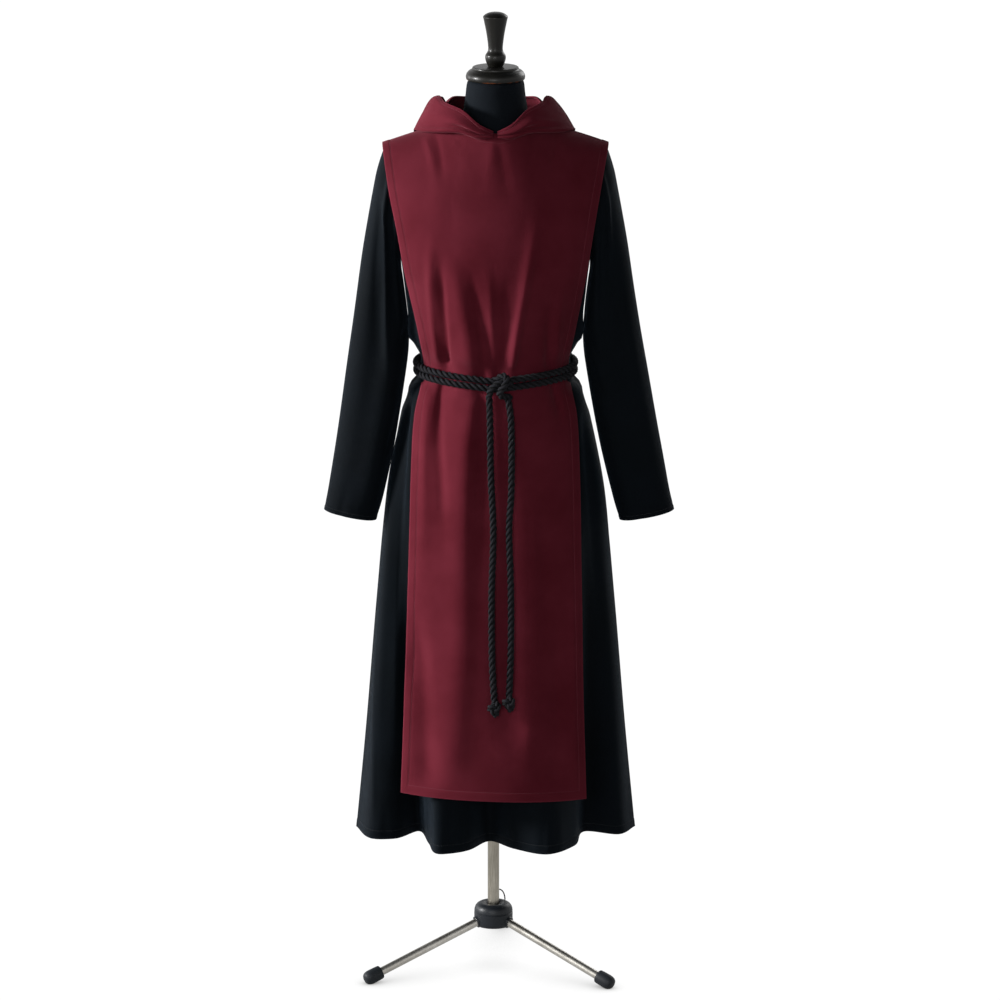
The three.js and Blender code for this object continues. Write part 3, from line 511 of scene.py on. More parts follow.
# A row of short raised stitches along a line of (point, normal) pairs, as one mesh with the other rows.
class Sewing:
    def __init__(self):
        self.points, self.faces = [], []

    def addRow(self, line, length=2.6, gap=1.0, radius=0.36):
        travelled, wanted = 0.0, 0.6
        for (p, n), (q, m) in zip(line, line[1:]):
            span = (q - p).length
            while span > 1e-6 and wanted < travelled + span:
                share = (wanted - travelled) / span
                normal = n.lerp(m, share).normalized()
                self.addStitch(p.lerp(q, share), (q - p) / span, normal, length, radius)
                wanted += length + gap
            travelled += span

    def addStitch(self, middle, along, normal, length, radius):
        across = along.cross(normal).normalized()
        start = len(self.points)
        self.points.append(middle - along * length * 0.5 - normal * 0.25)
        for reachAlong in (-0.25, 0.25):
            for turn in range(5):
                angle = math.tau * turn / 5
                ring = across * math.cos(angle) + normal * (math.sin(angle) * 0.8 + 0.25)
                self.points.append(middle + along * length * reachAlong + ring * radius)
        self.points.append(middle + along * length * 0.5 - normal * 0.25)
        end = start + 11
        for turn in range(5):
            a, b = start + 1 + turn, start + 1 + (turn + 1) % 5
            self.faces += [[start, a, b], [a, a + 5, b + 5, b], [end, b + 5, a + 5]]

    def finished(self, name, material):
        mesh = bpy.data.meshes.new(name)
        mesh.from_pydata([metres(p) for p in self.points], [], self.faces)
        mesh.polygons.foreach_set("use_smooth", [True] * len(mesh.polygons))
        mesh.materials.append(material)
        return addObject(name, mesh)


print("cloth tools ready")

# ---- the tunic ----
tunicFront = {
    "hemBand": 15,
    "columns": 156,
    "creases": creaseField([
        # from the belt's left end down the side of the skirt
        {"path": [(300, -224), (593, -208), (834, -191), (950, -183), (1075, -163)],
         "depth": 4.2, "width": (19, 8), "fade": (240, 40), "steep": 1.5},
        {"path": [(560, -181), (633, -179), (818, -172), (998, -162), (1085, -152)],
         "depth": -5.5, "width": (12, 7), "fade": (200, 30)},
        {"path": [(760, -170), (821, -166), (977, -152), (1096, -143)],
         "depth": 3.2, "width": (8, 6), "fade": (160, 30)},
        {"path": [(290, -221), (519, -215), (680, -211)],
         "depth": 1.6, "width": (5, 5), "fade": (60, 120), "steep": 2},
        # and its right end
        {"path": [(290, 240), (560, 226), (779, 214), (1060, 176)],
         "depth": 3.0, "width": (24, 10), "fade": (200, 60)},
        {"path": [(640, 190), (820, 176), (1060, 158)], "depth": -3.5, "width": (10, 6), "fade": (170, 40)},
        # short breaks above the hem
        {"path": [(262, -86), (330, -80), (395, -76)], "depth": -2.4, "width": (9, 5), "fade": (8, 80)},
        {"path": [(262, -62), (350, -64)], "depth": 1.8, "width": (7, 5), "fade": (8, 60)},
        {"path": [(262, 84), (330, 88), (380, 90)], "depth": -2.2, "width": (8, 5), "fade": (8, 70)},
        {"path": [(262, 118), (360, 112)], "depth": 1.6, "width": (8, 5), "fade": (8, 70)},
        {"path": [(262, -200), (340, -198)], "depth": -1.6, "width": (10, 6), "fade": (8, 60)},
        # drag lines from the armpits to the belt
        {"path": [(1150, -134), (1230, -150), (1300, -158)],
         "depth": -2.6, "width": (6, 10), "fade": (20, 60)},
        {"path": [(1150, 136), (1250, 152), (1310, 160)], "depth": -2.4, "width": (6, 9), "fade": (20, 70)},
    ]),
}
tunicBack = {
    "hemBand": 15,
    "columns": 140,
    "creases": creaseField([
        {"path": [(300, -226), (600, -206), (860, -186), (1075, -160)],
         "depth": 3.6, "width": (20, 8), "fade": (240, 40)},
        {"path": [(520, -184), (800, -172), (1085, -150)],
         "depth": -4.4, "width": (13, 7), "fade": (220, 30)},
        {"path": [(300, 228), (640, 208), (900, 188), (1070, 162)],
         "depth": 3.4, "width": (18, 8), "fade": (260, 40)},
        {"path": [(580, 186), (820, 172), (1085, 152)], "depth": -4.8, "width": (11, 7), "fade": (190, 30)},
        {"path": [(262, -104), (400, -100)], "depth": -2.2, "width": (9, 5), "fade": (8, 90)},
        {"path": [(262, 10), (350, 6)], "depth": 1.7, "width": (8, 5), "fade": (8, 70)},
        {"path": [(262, 122), (380, 116)], "depth": -2.0, "width": (9, 5), "fade": (8, 80)},
        {"path": [(1150, -136), (1290, -158)], "depth": -2.6, "width": (6, 10), "fade": (20, 70)},
        {"path": [(1150, 138), (1300, 160)], "depth": -2.8, "width": (6, 10), "fade": (20, 60)},
    ]),
}
tunicNeck = 100
tunicHem = 265
flareTop = 1040
# where the tunic blouses at its sides: above the belt, below it, and a little up to the armpits. Each bulge
# grows over the heights in `rises` and fades over those in `falls`; it comes in between these two shares of
# the half width.
blouseShares = (0.82, 0.99)
tunicBlouse = [
    {"out": 6, "rises": (1166, 1180), "falls": (1188, 1226)},
    {"out": 8, "rises": (1050, 1122), "falls": (1126, 1140)},
    {"out": 0.8, "rises": (1200, 1216), "falls": (1320, 1345)},
]
armholeX = through([(0, 170), (0.12, 164), (0.3, 163), (0.5, 169), (0.75, 184), (1, 196)], 1)
seamGap = 0.4
tunicHems = Sewing()


def signedPower(value):
    return math.copysign(abs(value) ** (2 / sectionPower), value)


def tunicLowPoint(flutes, angle, u, z, facing):
    curve = curvePoint(flutes, u)
    depth = front if facing < 0 else back
    ringX = side(z) * signedPower(math.sin(angle))
    ringY = facing * depth(z) * signedPower(abs(math.cos(angle)))
    opened = max(0.0, (flareTop - z) / (flareTop - tunicHem)) ** 1.25
    x = lerp(ringX, curve.x * side(z) / side(tunicHem), opened)
    y = lerp(ringY, curve.y * depth(z) / depth(tunicHem), opened)
    return Vector((x, y - facing * tucked(x, z), z))


def tunicPanel(name, node, rows, facing, look):
    flutes = [Vector((x, y, 0)) for _, x, y in rows]
    angleAt = through([(i, row[0]) for i, row in enumerate(rows)], 1)
    band = look["hemBand"]
    us = steps(0, 1, look["columns"])
    angles = [math.radians(angleAt(u * (len(rows) - 1))) for u in us]
    hem = [0, 1.2, 3, 6, 10, band - 1.6, band - 0.7, band, band + 0.8, band + 2, band + 5]
    heights = [tunicHem + d for d in hem] + steps(tunicHem + band + 12, armpitHeight, 116)

    def atSeam(p):
        p.y = facing * max(facing * p.y, seamGap / 2)
        return p

    grid = [[atSeam(tunicLowPoint(flutes, a, u, z, facing)) for u, a in zip(us, angles)] for z in heights]
    for up in steps(0, 1, 24)[1:]:
        row = []
        for angle in angles:
            x = signedPower(math.sin(angle)) * armholeX(up)
            row.append(atSeam(domePoint(x, up * necklineTurn(x, tunicNeck, facing), facing)))
        grid.append(row)
    field = look["creases"]
    wide = len(us) - 1

    def shape(i, j):
        p = grid[i][j]
        if i >= len(heights):
            return uneven(p.x, p.z, 3 + facing, amount=0.5), 0, 0
        amount = 1.6 - 1.1 * smoothBetween(p.z, 1080, 1120)
        out = field(p.x, p.z) + uneven(p.x, p.z, 3 + facing, amount=amount)
        blouse = 0.0
        for bulge in tunicBlouse:
            grown, gone = smoothBetween(p.z, *bulge["rises"]), smoothBetween(p.z, *bulge["falls"])
            blouse += bulge["out"] * (grown * (1 - gone))
        out += blouse * smoothBetween(abs(p.x) / side(p.z), *blouseShares)
        seam = min(j, wide - j)
        out *= smooth(seam / 6)
        distance = p.z - tunicHem
        proud = hemRelief(distance, band) - 0.5 * math.exp(-(seam / 1.1) ** 2) if distance > 0 else 0.55
        return out, proud, 0.8 * (1 - smoothBetween(distance, 0, 4))

    piece, area, face = clothShell(name, grid, shape)
    piece.data.materials.append(tunicCloth)
    tunicHems.addRow(face[hem.index(band)])
    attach(piece, "root")
    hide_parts(node)
    return piece, area


frontTunic, frontTunicArea = tunicPanel("tunicFrontCloth", "tunic_front", frontFlutes, -1, tunicFront)
backTunic, backTunicArea = tunicPanel("tunicBackCloth", "tunic_back", backFlutes, 1, tunicBack)
print("tunic panels ready, square metres:", round(frontTunicArea, 3), round(backTunicArea, 3))

# ---- the sleeves ----
sleeveSides = 96
# ring; outer and inner points seen from the front, half the depth, how far forward, the hollow down the front
sleeveRings = [(0, 197, 1519, 171, 1326, 55, 0, 0), (1, 208, 1492, 169.3, 1306, 54, 0, 2),
               (2, 218, 1446, 164.0, 1276, 51, 1, 6), (3, 235, 1348, 157.4, 1224, 47, 4, 9),
               (4, 250, 1244, 155, 1168, 43, 9, 10), (5, 265, 1138, 162, 1102, 41, 14, 8),
               (6, 283, 1010, 181, 984, 38, 18, 4), (7, 298, 915, 201, 893, 36, 22, 2),
               (8, 308, 865, 214, 846, 34, 24, 1)]
# creases by ring, and by percent of the way round: 0 outside, 25 at the front, 50 inside, 75 at the back
leftSleeve = {
    "out": 1.04,
    "creases": creaseField([
        {"path": [(0.3, 16), (1.2, 17.5), (2.0, 19), (3.4, 22)],
         "depth": 5.5, "width": (2.4, 2.0), "fade": (0.8, 1.5)},
        {"path": [(0.8, 25), (2.4, 27), (4.6, 31)], "depth": -3.4, "width": (2.6, 3), "fade": (1, 1.6)},
        {"path": [(3.2, 17), (5.0, 15), (7.4, 14)], "depth": 3.4, "width": (4.5, 5), "fade": (1.6, 1.6)},
        {"path": [(3.6, 42), (4.3, 36), (4.9, 31)], "depth": -2.6, "width": (3, 2), "fade": (0.4, 0.6)},
        {"path": [(4.3, 45), (5.0, 38), (5.5, 34)], "depth": -2.2, "width": (3, 2), "fade": (0.4, 0.6)},
        {"path": [(0.6, 73), (2.0, 74), (3.8, 72)], "depth": 3.2, "width": (2.2, 2.4), "fade": (0.8, 1.6)},
        {"path": [(2.4, 81), (4.4, 84), (6.8, 83)], "depth": -3.0, "width": (3.4, 3.6), "fade": (1.2, 1.6)},
        {"path": [(3.8, 60), (4.6, 66), (5.2, 71)], "depth": -2.4, "width": (2.6, 2), "fade": (0.5, 0.6)},
        {"path": [(6.0, 30), (7.2, 29), (8.1, 29)], "depth": -1.6, "width": (3.2, 2.6), "fade": (1.2, 0.1)},
    ]),
}
rightSleeve = {
    "out": 1.0,
    "creases": creaseField([
        {"path": [(0.3, 17), (1.0, 19), (2.0, 22), (3.0, 25.5), (4.0, 28), (5.4, 33)],
         "depth": 7.5, "width": (2.8, 2.2), "fade": (0.8, 1.8), "steep": 1.4},
        {"path": [(0.8, 26), (2.0, 29), (3.2, 32), (5.0, 36)],
         "depth": -3.6, "width": (2.8, 2.6), "fade": (1, 1.8)},
        {"path": [(1.2, 13), (3.0, 18), (5.0, 24)], "depth": -3.2, "width": (3, 3), "fade": (1.2, 2.2)},
        {"path": [(2.6, 28), (4.0, 30), (5.4, 31), (7.8, 33)],
         "depth": 7.0, "width": (9, 9), "fade": (1.4, 1.2)},
        {"path": [(3.4, 43), (4.0, 38), (4.6, 35)], "depth": -2.8, "width": (3, 2), "fade": (0.4, 0.6)},
        {"path": [(5.2, 46), (5.8, 40), (6.4, 36)], "depth": -2.0, "width": (3, 2), "fade": (0.4, 0.6)},
        {"path": [(0.6, 72), (2.2, 70), (4.4, 71)], "depth": 3.6, "width": (2.2, 2.6), "fade": (0.8, 1.8)},
        {"path": [(2.0, 79), (4.0, 80), (6.2, 82)], "depth": -3.4, "width": (3.2, 3.4), "fade": (1.2, 1.6)},
        {"path": [(4.4, 58), (5.1, 64), (5.7, 69)], "depth": -2.2, "width": (2.6, 2), "fade": (0.5, 0.6)},
        {"path": [(6.4, 20), (7.4, 19), (8.1, 19)], "depth": -1.4, "width": (3.2, 2.6), "fade": (1.2, 0.1)},
    ]),
}


def armholePoint(t):
    up, facing = (1 - 2 * t, -1) if t <= 0.5 else (2 * t - 1, 1)
    return domePoint(armholeX(up), up * math.pi / 2, facing) + Vector((seamGap, 0, 0))


def sleeve(name, node, sign, look, seed):
    outX, outZ, inX, inZ, depth, forward, hollow = (through(sleeveRings, column) for column in range(1, 8))
    band, ringStep = 8, 50  # the last rings are about 50 mm apart
    ks = steps(0, 7.62, 84) + [8 - d / ringStep for d in (15, 12, 10, 8.8, 8, 7.2, 6, 4, 2, 1, 0)]
    starts = [armholePoint(j / sleeveSides) for j in range(sleeveSides)]

    def point(k, j):
        turn = math.tau * j / sleeveSides
        middle = Vector(((outX(k) + inX(k)) / 2, -forward(k), (outZ(k) + inZ(k)) / 2))
        half = Vector(((outX(k) - inX(k)) / 2, 0, (outZ(k) - inZ(k)) / 2))
        dip = hollow(k) * math.exp(-(math.cos(turn) / 0.45) ** 2)
        p = middle + half * math.cos(turn) - Vector((0, (depth(k) - dip) * math.sin(turn), 0))
        p = p.lerp(starts[j], 1 - smoothBetween(k, 0, 1.6))
        p.x *= sign * lerp(1, look["out"], smooth((armpitHeight - p.z) / 450))
        return p

    grid = [[point(k, j) for j in range(sleeveSides)] for k in ks]

    def shape(i, j):
        k, percent = ks[i], 100 * j / sleeveSides
        turn = math.tau * j / sleeveSides
        out = sum(look["creases"](percent + whole, k) for whole in (-100, 0, 100)) * smooth(k / 1.2)
        out += uneven(120 * math.cos(turn), 130 * k, seed + math.sin(turn), amount=0.8)
        out *= smooth(k / 0.25)
        distance = (8 - k) * ringStep
        proud = hemRelief(distance, band) - 0.5 * math.exp(-(k / 0.03) ** 2)
        return out, proud, 0.8 * (1 - smoothBetween(distance, 0, 3))

    piece, area, face = clothShell(name, grid, shape, tube=True)
    piece.data.materials.append(tunicCloth)
    line = face[ks.index(8 - band / ringStep)]
    tunicHems.addRow(line + line[:1])
    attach(piece, "root")
    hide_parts(node)
    return piece, area


leftSleeveCloth, leftSleeveArea = sleeve("sleeveLeftCloth", "sleeve_left", 1, leftSleeve, 11)
rightSleeveCloth, rightSleeveArea = sleeve("sleeveRightCloth", "sleeve_right", -1, rightSleeve, 17)
print("sleeves ready, square metres:", round(leftSleeveArea, 3), round(rightSleeveArea, 3))

# ---- the scapular ----
scapularEdges = [(367, -170, 163), (560, -163, 157), (800, -155, 153), (960, -150, 150), (1050, -144, 145),
                 (1127, -128, 130), (1200, -138, 142), (1300, -160, 161), (1380, -175, 174),
                 (1450, -189, 186), (1530, -201, 201)]
scapularFront = {
    "sideBand": 12.5,
    "hemBand": 16,
    "neckStitch": 80,
    "hemTilt": 5,
    "inside": 96,
    "creases": creaseField([
        # above the belt, from the wearer's right to left
        {"path": [(1142, -101), (1207, -109), (1288, -114), (1360, -114), (1396, -108)],
         "depth": 5.0, "width": (7, 10), "fade": (14, 110)},
        {"path": [(1138, -85), (1180, -88), (1288, -95), (1360, -97)],
         "depth": -5.0, "width": (5, 8), "fade": (8, 100)},
        {"path": [(1142, -44), (1207, -52), (1288, -66), (1360, -76)],
         "depth": 6.0, "width": (18, 13), "fade": (14, 110)},
        {"path": [(1140, -22), (1207, -27), (1288, -37), (1340, -46)],
         "depth": -3.4, "width": (7, 9), "fade": (10, 90)},
        {"path": [(1140, -2), (1207, -6), (1288, -11), (1350, -20)],
         "depth": 3.2, "width": (7, 10), "fade": (10, 120)},
        {"path": [(1138, 14), (1207, 18), (1288, 20), (1330, 24)],
         "depth": -3.2, "width": (7, 10), "fade": (8, 110)},
        {"path": [(1138, 29), (1227, 42), (1320, 58), (1450, 82)],
         "depth": 6.8, "width": (7, 16), "fade": (10, 170), "steep": 1.25},
        {"path": [(1138, 92), (1221, 95), (1300, 98)], "depth": -2.6, "width": (5, 9), "fade": (10, 100)},
        {"path": [(1142, 106), (1230, 112), (1320, 120)], "depth": 3.2, "width": (7, 10), "fade": (16, 100)},
        {"path": [(1390, -102), (1450, -97), (1500, -92)], "depth": 4.0, "width": (28, 30), "fade": (60, 70)},
        # the chest, under the hood
        {"path": [(1420, 27), (1485, 17), (1548, 5)], "depth": -0.9, "width": (14, 6), "fade": (80, 20)},
        {"path": [(1430, -14), (1500, -10), (1552, -6)], "depth": 1.3, "width": (16, 8), "fade": (80, 20)},
        {"path": [(1466, -90), (1521, -98), (1539, -103), (1556, -112)],
         "depth": -1.7, "width": (7, 4), "fade": (50, 14)},
        {"path": [(1450, -104), (1510, -112), (1548, -126)],
         "depth": 2.0, "width": (10, 5), "fade": (70, 14)},
        {"path": [(1470, 96), (1520, 104), (1550, 112)], "depth": -1.4, "width": (8, 5), "fade": (50, 14)},
        # below the belt
        {"path": [(820, -95), (910, -96), (1000, -101), (1054, -101), (1099, -97), (1119, -91)],
         "depth": -4.6, "width": (13, 6), "fade": (110, 6)},
        {"path": [(740, -132), (910, -127), (1000, -126), (1102, -120)],
         "depth": 3.6, "width": (13, 8), "fade": (170, 20)},
        {"path": [(366, -80), (460, -76), (640, -63), (820, -59), (910, -56), (1000, -51), (1054, -42),
                  (1100, -34)],
         "depth": 6.4, "width": (34, 19), "fade": (110, 24), "steep": 1.15},
        {"path": [(366, -122), (460, -126), (550, -130), (640, -137), (740, -148)],
         "depth": -7.0, "width": (22, 15), "fade": (60, 130)},
        {"path": [(450, 26), (640, 28), (820, 28), (1060, 30)],
         "depth": -7.0, "width": (30, 20), "fade": (110, 120)},
        {"path": [(380, 58), (480, 62), (659, 68), (800, 65), (1000, 64)],
         "depth": 4.0, "width": (22, 15), "fade": (130, 200), "steep": 1.2},
        {"path": [(1030, 120), (1068, 112), (1100, 103), (1122, 96)],
         "depth": -3.4, "width": (8, 4), "fade": (60, 5)},
        {"path": [(364, 104), (500, 110), (760, 108)], "depth": -2.4, "width": (18, 10), "fade": (60, 240)},
        {"path": [(372, 146), (560, 142), (900, 134)], "depth": 2.4, "width": (10, 8), "fade": (60, 300)},
        {"path": [(560, -150), (604, -151), (650, -150)], "depth": -2.0, "width": (7, 7), "fade": (36, 36)},
    ]),
}
scapularBack = {
    "sideBand": 12.5,
    "hemBand": 16,
    "neckStitch": 0,
    "hemTilt": -3,
    "inside": 84,
    "creases": creaseField([
        {"path": [(1146, -82), (1260, -100), (1370, -112)],
         "depth": 2.6, "width": (8, 13), "fade": (14, 130)},
        {"path": [(1140, -60), (1270, -70), (1340, -76)],
         "depth": -2.2, "width": (5, 9), "fade": (12, 110), "steep": 1.6},
        {"path": [(1146, 2), (1280, 10), (1400, 6)], "depth": 2.8, "width": (8, 14), "fade": (16, 150)},
        {"path": [(1140, 30), (1240, 36), (1330, 44)], "depth": -2.0, "width": (5, 9), "fade": (12, 120)},
        {"path": [(1146, 92), (1250, 108), (1350, 118)], "depth": 2.2, "width": (7, 11), "fade": (16, 110)},
        {"path": [(960, -92), (1060, -88), (1120, -78)], "depth": -3.4, "width": (14, 5), "fade": (120, 8)},
        {"path": [(372, -96), (700, -66), (1100, -52)], "depth": 3.0, "width": (26, 12), "fade": (260, 30)},
        {"path": [(364, -24), (600, -16), (1000, -12)], "depth": -2.6, "width": (24, 10), "fade": (60, 300)},
        {"path": [(364, 40), (640, 42), (1090, 26)], "depth": 3.0, "width": (26, 11), "fade": (60, 120)},
        {"path": [(940, 92), (1040, 90), (1118, 82)], "depth": -3.2, "width": (13, 5), "fade": (110, 8)},
        {"path": [(364, 104), (560, 96), (800, 92)], "depth": -2.0, "width": (18, 9), "fade": (60, 220)},
    ]),
}
scapularNeck = 72
scapularHem = 367
shoulderEdge = 1530
scapularDome = {"grow": 6, "widen": 25, "rise": 6.5}
leftEdge, rightEdge = through(scapularEdges, 1), through(scapularEdges, 2)
scapularSewing = Sewing()


def scapularPanel(name, node, facing, look, seed):
    band, hemBand = look["sideBand"], look["hemBand"]
    near = [0, 1.2, 3, 6, 9, band - 1.5, band - 0.7, band, band + 0.8, band + 2, band + 5]
    places = [(-1, d) for d in near] + [(0, f) for f in steps(0, 1, look["inside"])]
    places += [(1, d) for d in near[::-1]]
    hem = [0, 1.2, 3, 7, 11, hemBand - 1.6, hemBand - 0.7, hemBand, hemBand + 0.8, hemBand + 2, hemBand + 5]
    heights = [scapularHem + d for d in hem] + steps(scapularHem + hemBand + 12, armpitHeight, 108)

    def acrossAt(place, z):
        kind, value = place
        if kind:
            return leftEdge(z) + value if kind < 0 else rightEdge(z) - value
        return lerp(leftEdge(z) + band + 9, rightEdge(z) - band - 9, value)

    def lowPoint(place, z):
        x = acrossAt(place, z)
        dropped = look["hemTilt"] * x / 160 * (1 - smoothBetween(z, scapularHem, 720))
        toDome = smoothBetween(z, 1270, armpitHeight)
        grow = lerp(scapularStandOff(z), scapularDome["grow"], toDome)
        widen = lerp(scapularStandOff(z) + 20 * smoothBetween(z, 1170, 1400), scapularDome["widen"], toDome)
        return Vector((x, facing * (reach(x, z, facing, grow, widen) - gathered(x, z, facing)), z - dropped))

    grid = [[lowPoint(place, z) for place in places] for z in heights]
    for up in steps(0, 1, 30)[1:]:
        level = armpitHeight + (shoulderEdge - armpitHeight) * math.sin(up * math.pi / 2)
        row = []
        for place in places:
            x = acrossAt(place, level)
            # the corner where the neckline meets the ridge is rounded off
            nearby = (-6, -3, 0, 3, 6) if abs(x) > scapularNeck - 8 else (0,)
            turns = [necklineTurn(x + step, scapularNeck, facing, **scapularDome) for step in nearby]
            p = domePoint(x, up * (sum(turns) / len(turns)), facing, **scapularDome)
            p.y -= facing * gathered(x, level, facing) * (1 - up)
            p.y = facing * max(facing * p.y, seamGap / 2)
            row.append(p)
        grid.append(row)

    def shape(i, j):
        p, (kind, value) = grid[i][j], places[j]
        distance = value if kind else 99
        bottom = heights[i] - scapularHem if i < len(heights) else 99
        out = look["creases"](p.x, p.z) + uneven(p.x, p.z, seed, amount=0.8)
        if i > len(heights):
            out *= 1 - smoothBetween(p.z, 1540, 1600) * 0.6
            out = max(out, -2.0)
        proud = max(hemRelief(distance, band), hemRelief(bottom, hemBand) if bottom < hemBand + 2 else -9)
        if bottom < hemBand + 2 and distance < band + 2:
            proud = max(hemRelief(bottom, hemBand), hemRelief(distance, band))
        if look["neckStitch"]:
            ring = math.hypot(p.x, p.y) - look["neckStitch"]
            proud -= 0.5 * math.exp(-(ring / 1.6) ** 2) if abs(ring) < 6 and p.z > 1500 else 0
        return out, proud, 0.7 * (1 - smoothBetween(min(distance, bottom), 0, 3.5))

    piece, area, face = clothShell(name, grid, shape)
    piece.data.materials.append(wineCloth)
    hemRow, lineColumn = hem.index(hemBand), near.index(band)
    scapularSewing.addRow(face[hemRow][lineColumn:len(places) - lineColumn])
    for j in (lineColumn, len(places) - 1 - lineColumn):
        scapularSewing.addRow([row[j] for row in face[hemRow:]])
    if look["neckStitch"]:
        ringLine = []
        for row, nextRow in zip(face[len(heights):], face[len(heights) + 1:]):
            for j in range(len(places)):
                (p, n), (q, _) = row[j], nextRow[j]
                a, b = (math.hypot(*point.xy) - look["neckStitch"] for point in (p, q))
                if a >= 0 > b and p.z > 1500:
                    ringLine.append((p.lerp(q, a / (a - b)), n))
        ringLine.sort(key=lambda spot: spot[0].x)
        scapularSewing.addRow(ringLine)
    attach(piece, "root")
    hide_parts(node)
    return piece, area


frontScapular, frontScapularArea = scapularPanel(
    "scapularFrontCloth", "scapular_front", -1, scapularFront, 23)
backScapular, backScapularArea = scapularPanel("scapularBackCloth", "scapular_back", 1, scapularBack, 29)
print("scapular ready, square metres:", round(frontScapularArea, 3), round(backScapularArea, 3))

# ---- the hood ----
# angle round the neck; neck seam, fold at the foot, lean of the fold, outer face, top of the roll and free
# edge, as radius and height
hoodPlanes = [(3, 75, 1551, 80, 1552, 0, 80, 1556, 78, 1558, 76, 1561),
              (20, 77, 1554, 88, 1553, 0, 89, 1560, 85, 1568, 82, 1573),
              (42, 79, 1561, 100, 1562, 5, 101, 1576, 92, 1588, 87, 1596),
              (65, 82, 1569, 119, 1559, 12, 114, 1581, 105, 1598, 98, 1605),
              (90, 84, 1573, 145, 1550, 20, 130, 1579, 115, 1603, 104, 1607),
              (112, 84, 1574, 149, 1524, 45, 140, 1566, 119, 1599, 106, 1603),
              (135, 84, 1573, 150, 1456, 75, 156, 1530, 126, 1589, 113, 1597),
              (158, 84, 1571, 143, 1350, 88, 168, 1450, 133, 1574, 116, 1591),
              (180, 84, 1570, 140, 1305, 90, 170, 1425, 136, 1566, 117, 1587)]
hoodSizes = {"foldTurn": 6, "hemBand": 5.5, "leftTuck": 13, "rightTuck": 4}
# the free edge stands up in a peak over the shoulder and dips in a notch behind it: degrees round the neck
hoodWaves = [{"rise": 6, "angle": 83, "width": 9}, {"rise": -12, "angle": 127, "width": 8}]
hoodFields = [through(hoodPlanes, column) for column in range(1, 12)]
# creases by degrees round the neck, and by percent from the neck seam to the free edge
hoodCreases = {
    1: creaseField([
        {"path": [(44, 78), (70, 70), (104, 62)], "depth": -1.6, "width": (4, 7), "fade": (16, 26)},
        {"path": [(96, 80), (124, 72), (150, 58)], "depth": 2.2, "width": (6, 7), "fade": (18, 26)},
        {"path": [(110, 58), (140, 66), (176, 70)], "depth": -2.6, "width": (6, 6), "fade": (18, 30)},
        {"path": [(60, 88), (90, 88), (130, 86)], "depth": 1.2, "width": (5, 5), "fade": (20, 30)},
    ]),
    -1: creaseField([
        {"path": [(40, 74), (66, 68), (98, 64)], "depth": -1.4, "width": (4, 6), "fade": (14, 24)},
        {"path": [(88, 84), (116, 76), (150, 64)], "depth": 2.4, "width": (6, 7), "fade": (18, 30)},
        {"path": [(104, 56), (134, 60), (170, 76)], "depth": -2.4, "width": (6, 6), "fade": (18, 30)},
        {"path": [(56, 90), (90, 87), (136, 84)], "depth": 1.4, "width": (5, 5), "fade": (20, 30)},
    ]),
}


def clearOfShoulders(point, gap):
    facing = -1 if point.y < 0 else 1
    for _ in range(3):
        height = shoulderRidge(abs(point.x)) + scapularDome["rise"] + gap - armpitHeight
        depth = reach(point.x, point.z, facing, scapularDome["grow"] + gap, scapularDome["widen"] + gap)
        size = math.hypot((point.z - armpitHeight) / height, point.y / max(depth, 1))
        if size >= 1 or point.z < armpitHeight:
            break
        point.y /= size
        point.z = armpitHeight + (point.z - armpitHeight) / size
    return point


# A point of the smooth line through a hood plane's profile.
def profilePoint(points, share):
    spans = len(points) - 1
    i = min(int(share * spans), spans - 1)
    w = share * spans - i
    p0, p1, p2, p3 = (points[min(max(i + k, 0), spans)] for k in (-1, 0, 1, 2))
    v0, v1 = (p2 - p0) / 2, (p3 - p1) / 2
    return (p1 * 2 - p2 * 2 + v0 + v1) * w ** 3 + (p2 * 3 - p1 * 3 - v0 * 2 - v1) * w ** 2 + v0 * w + p1


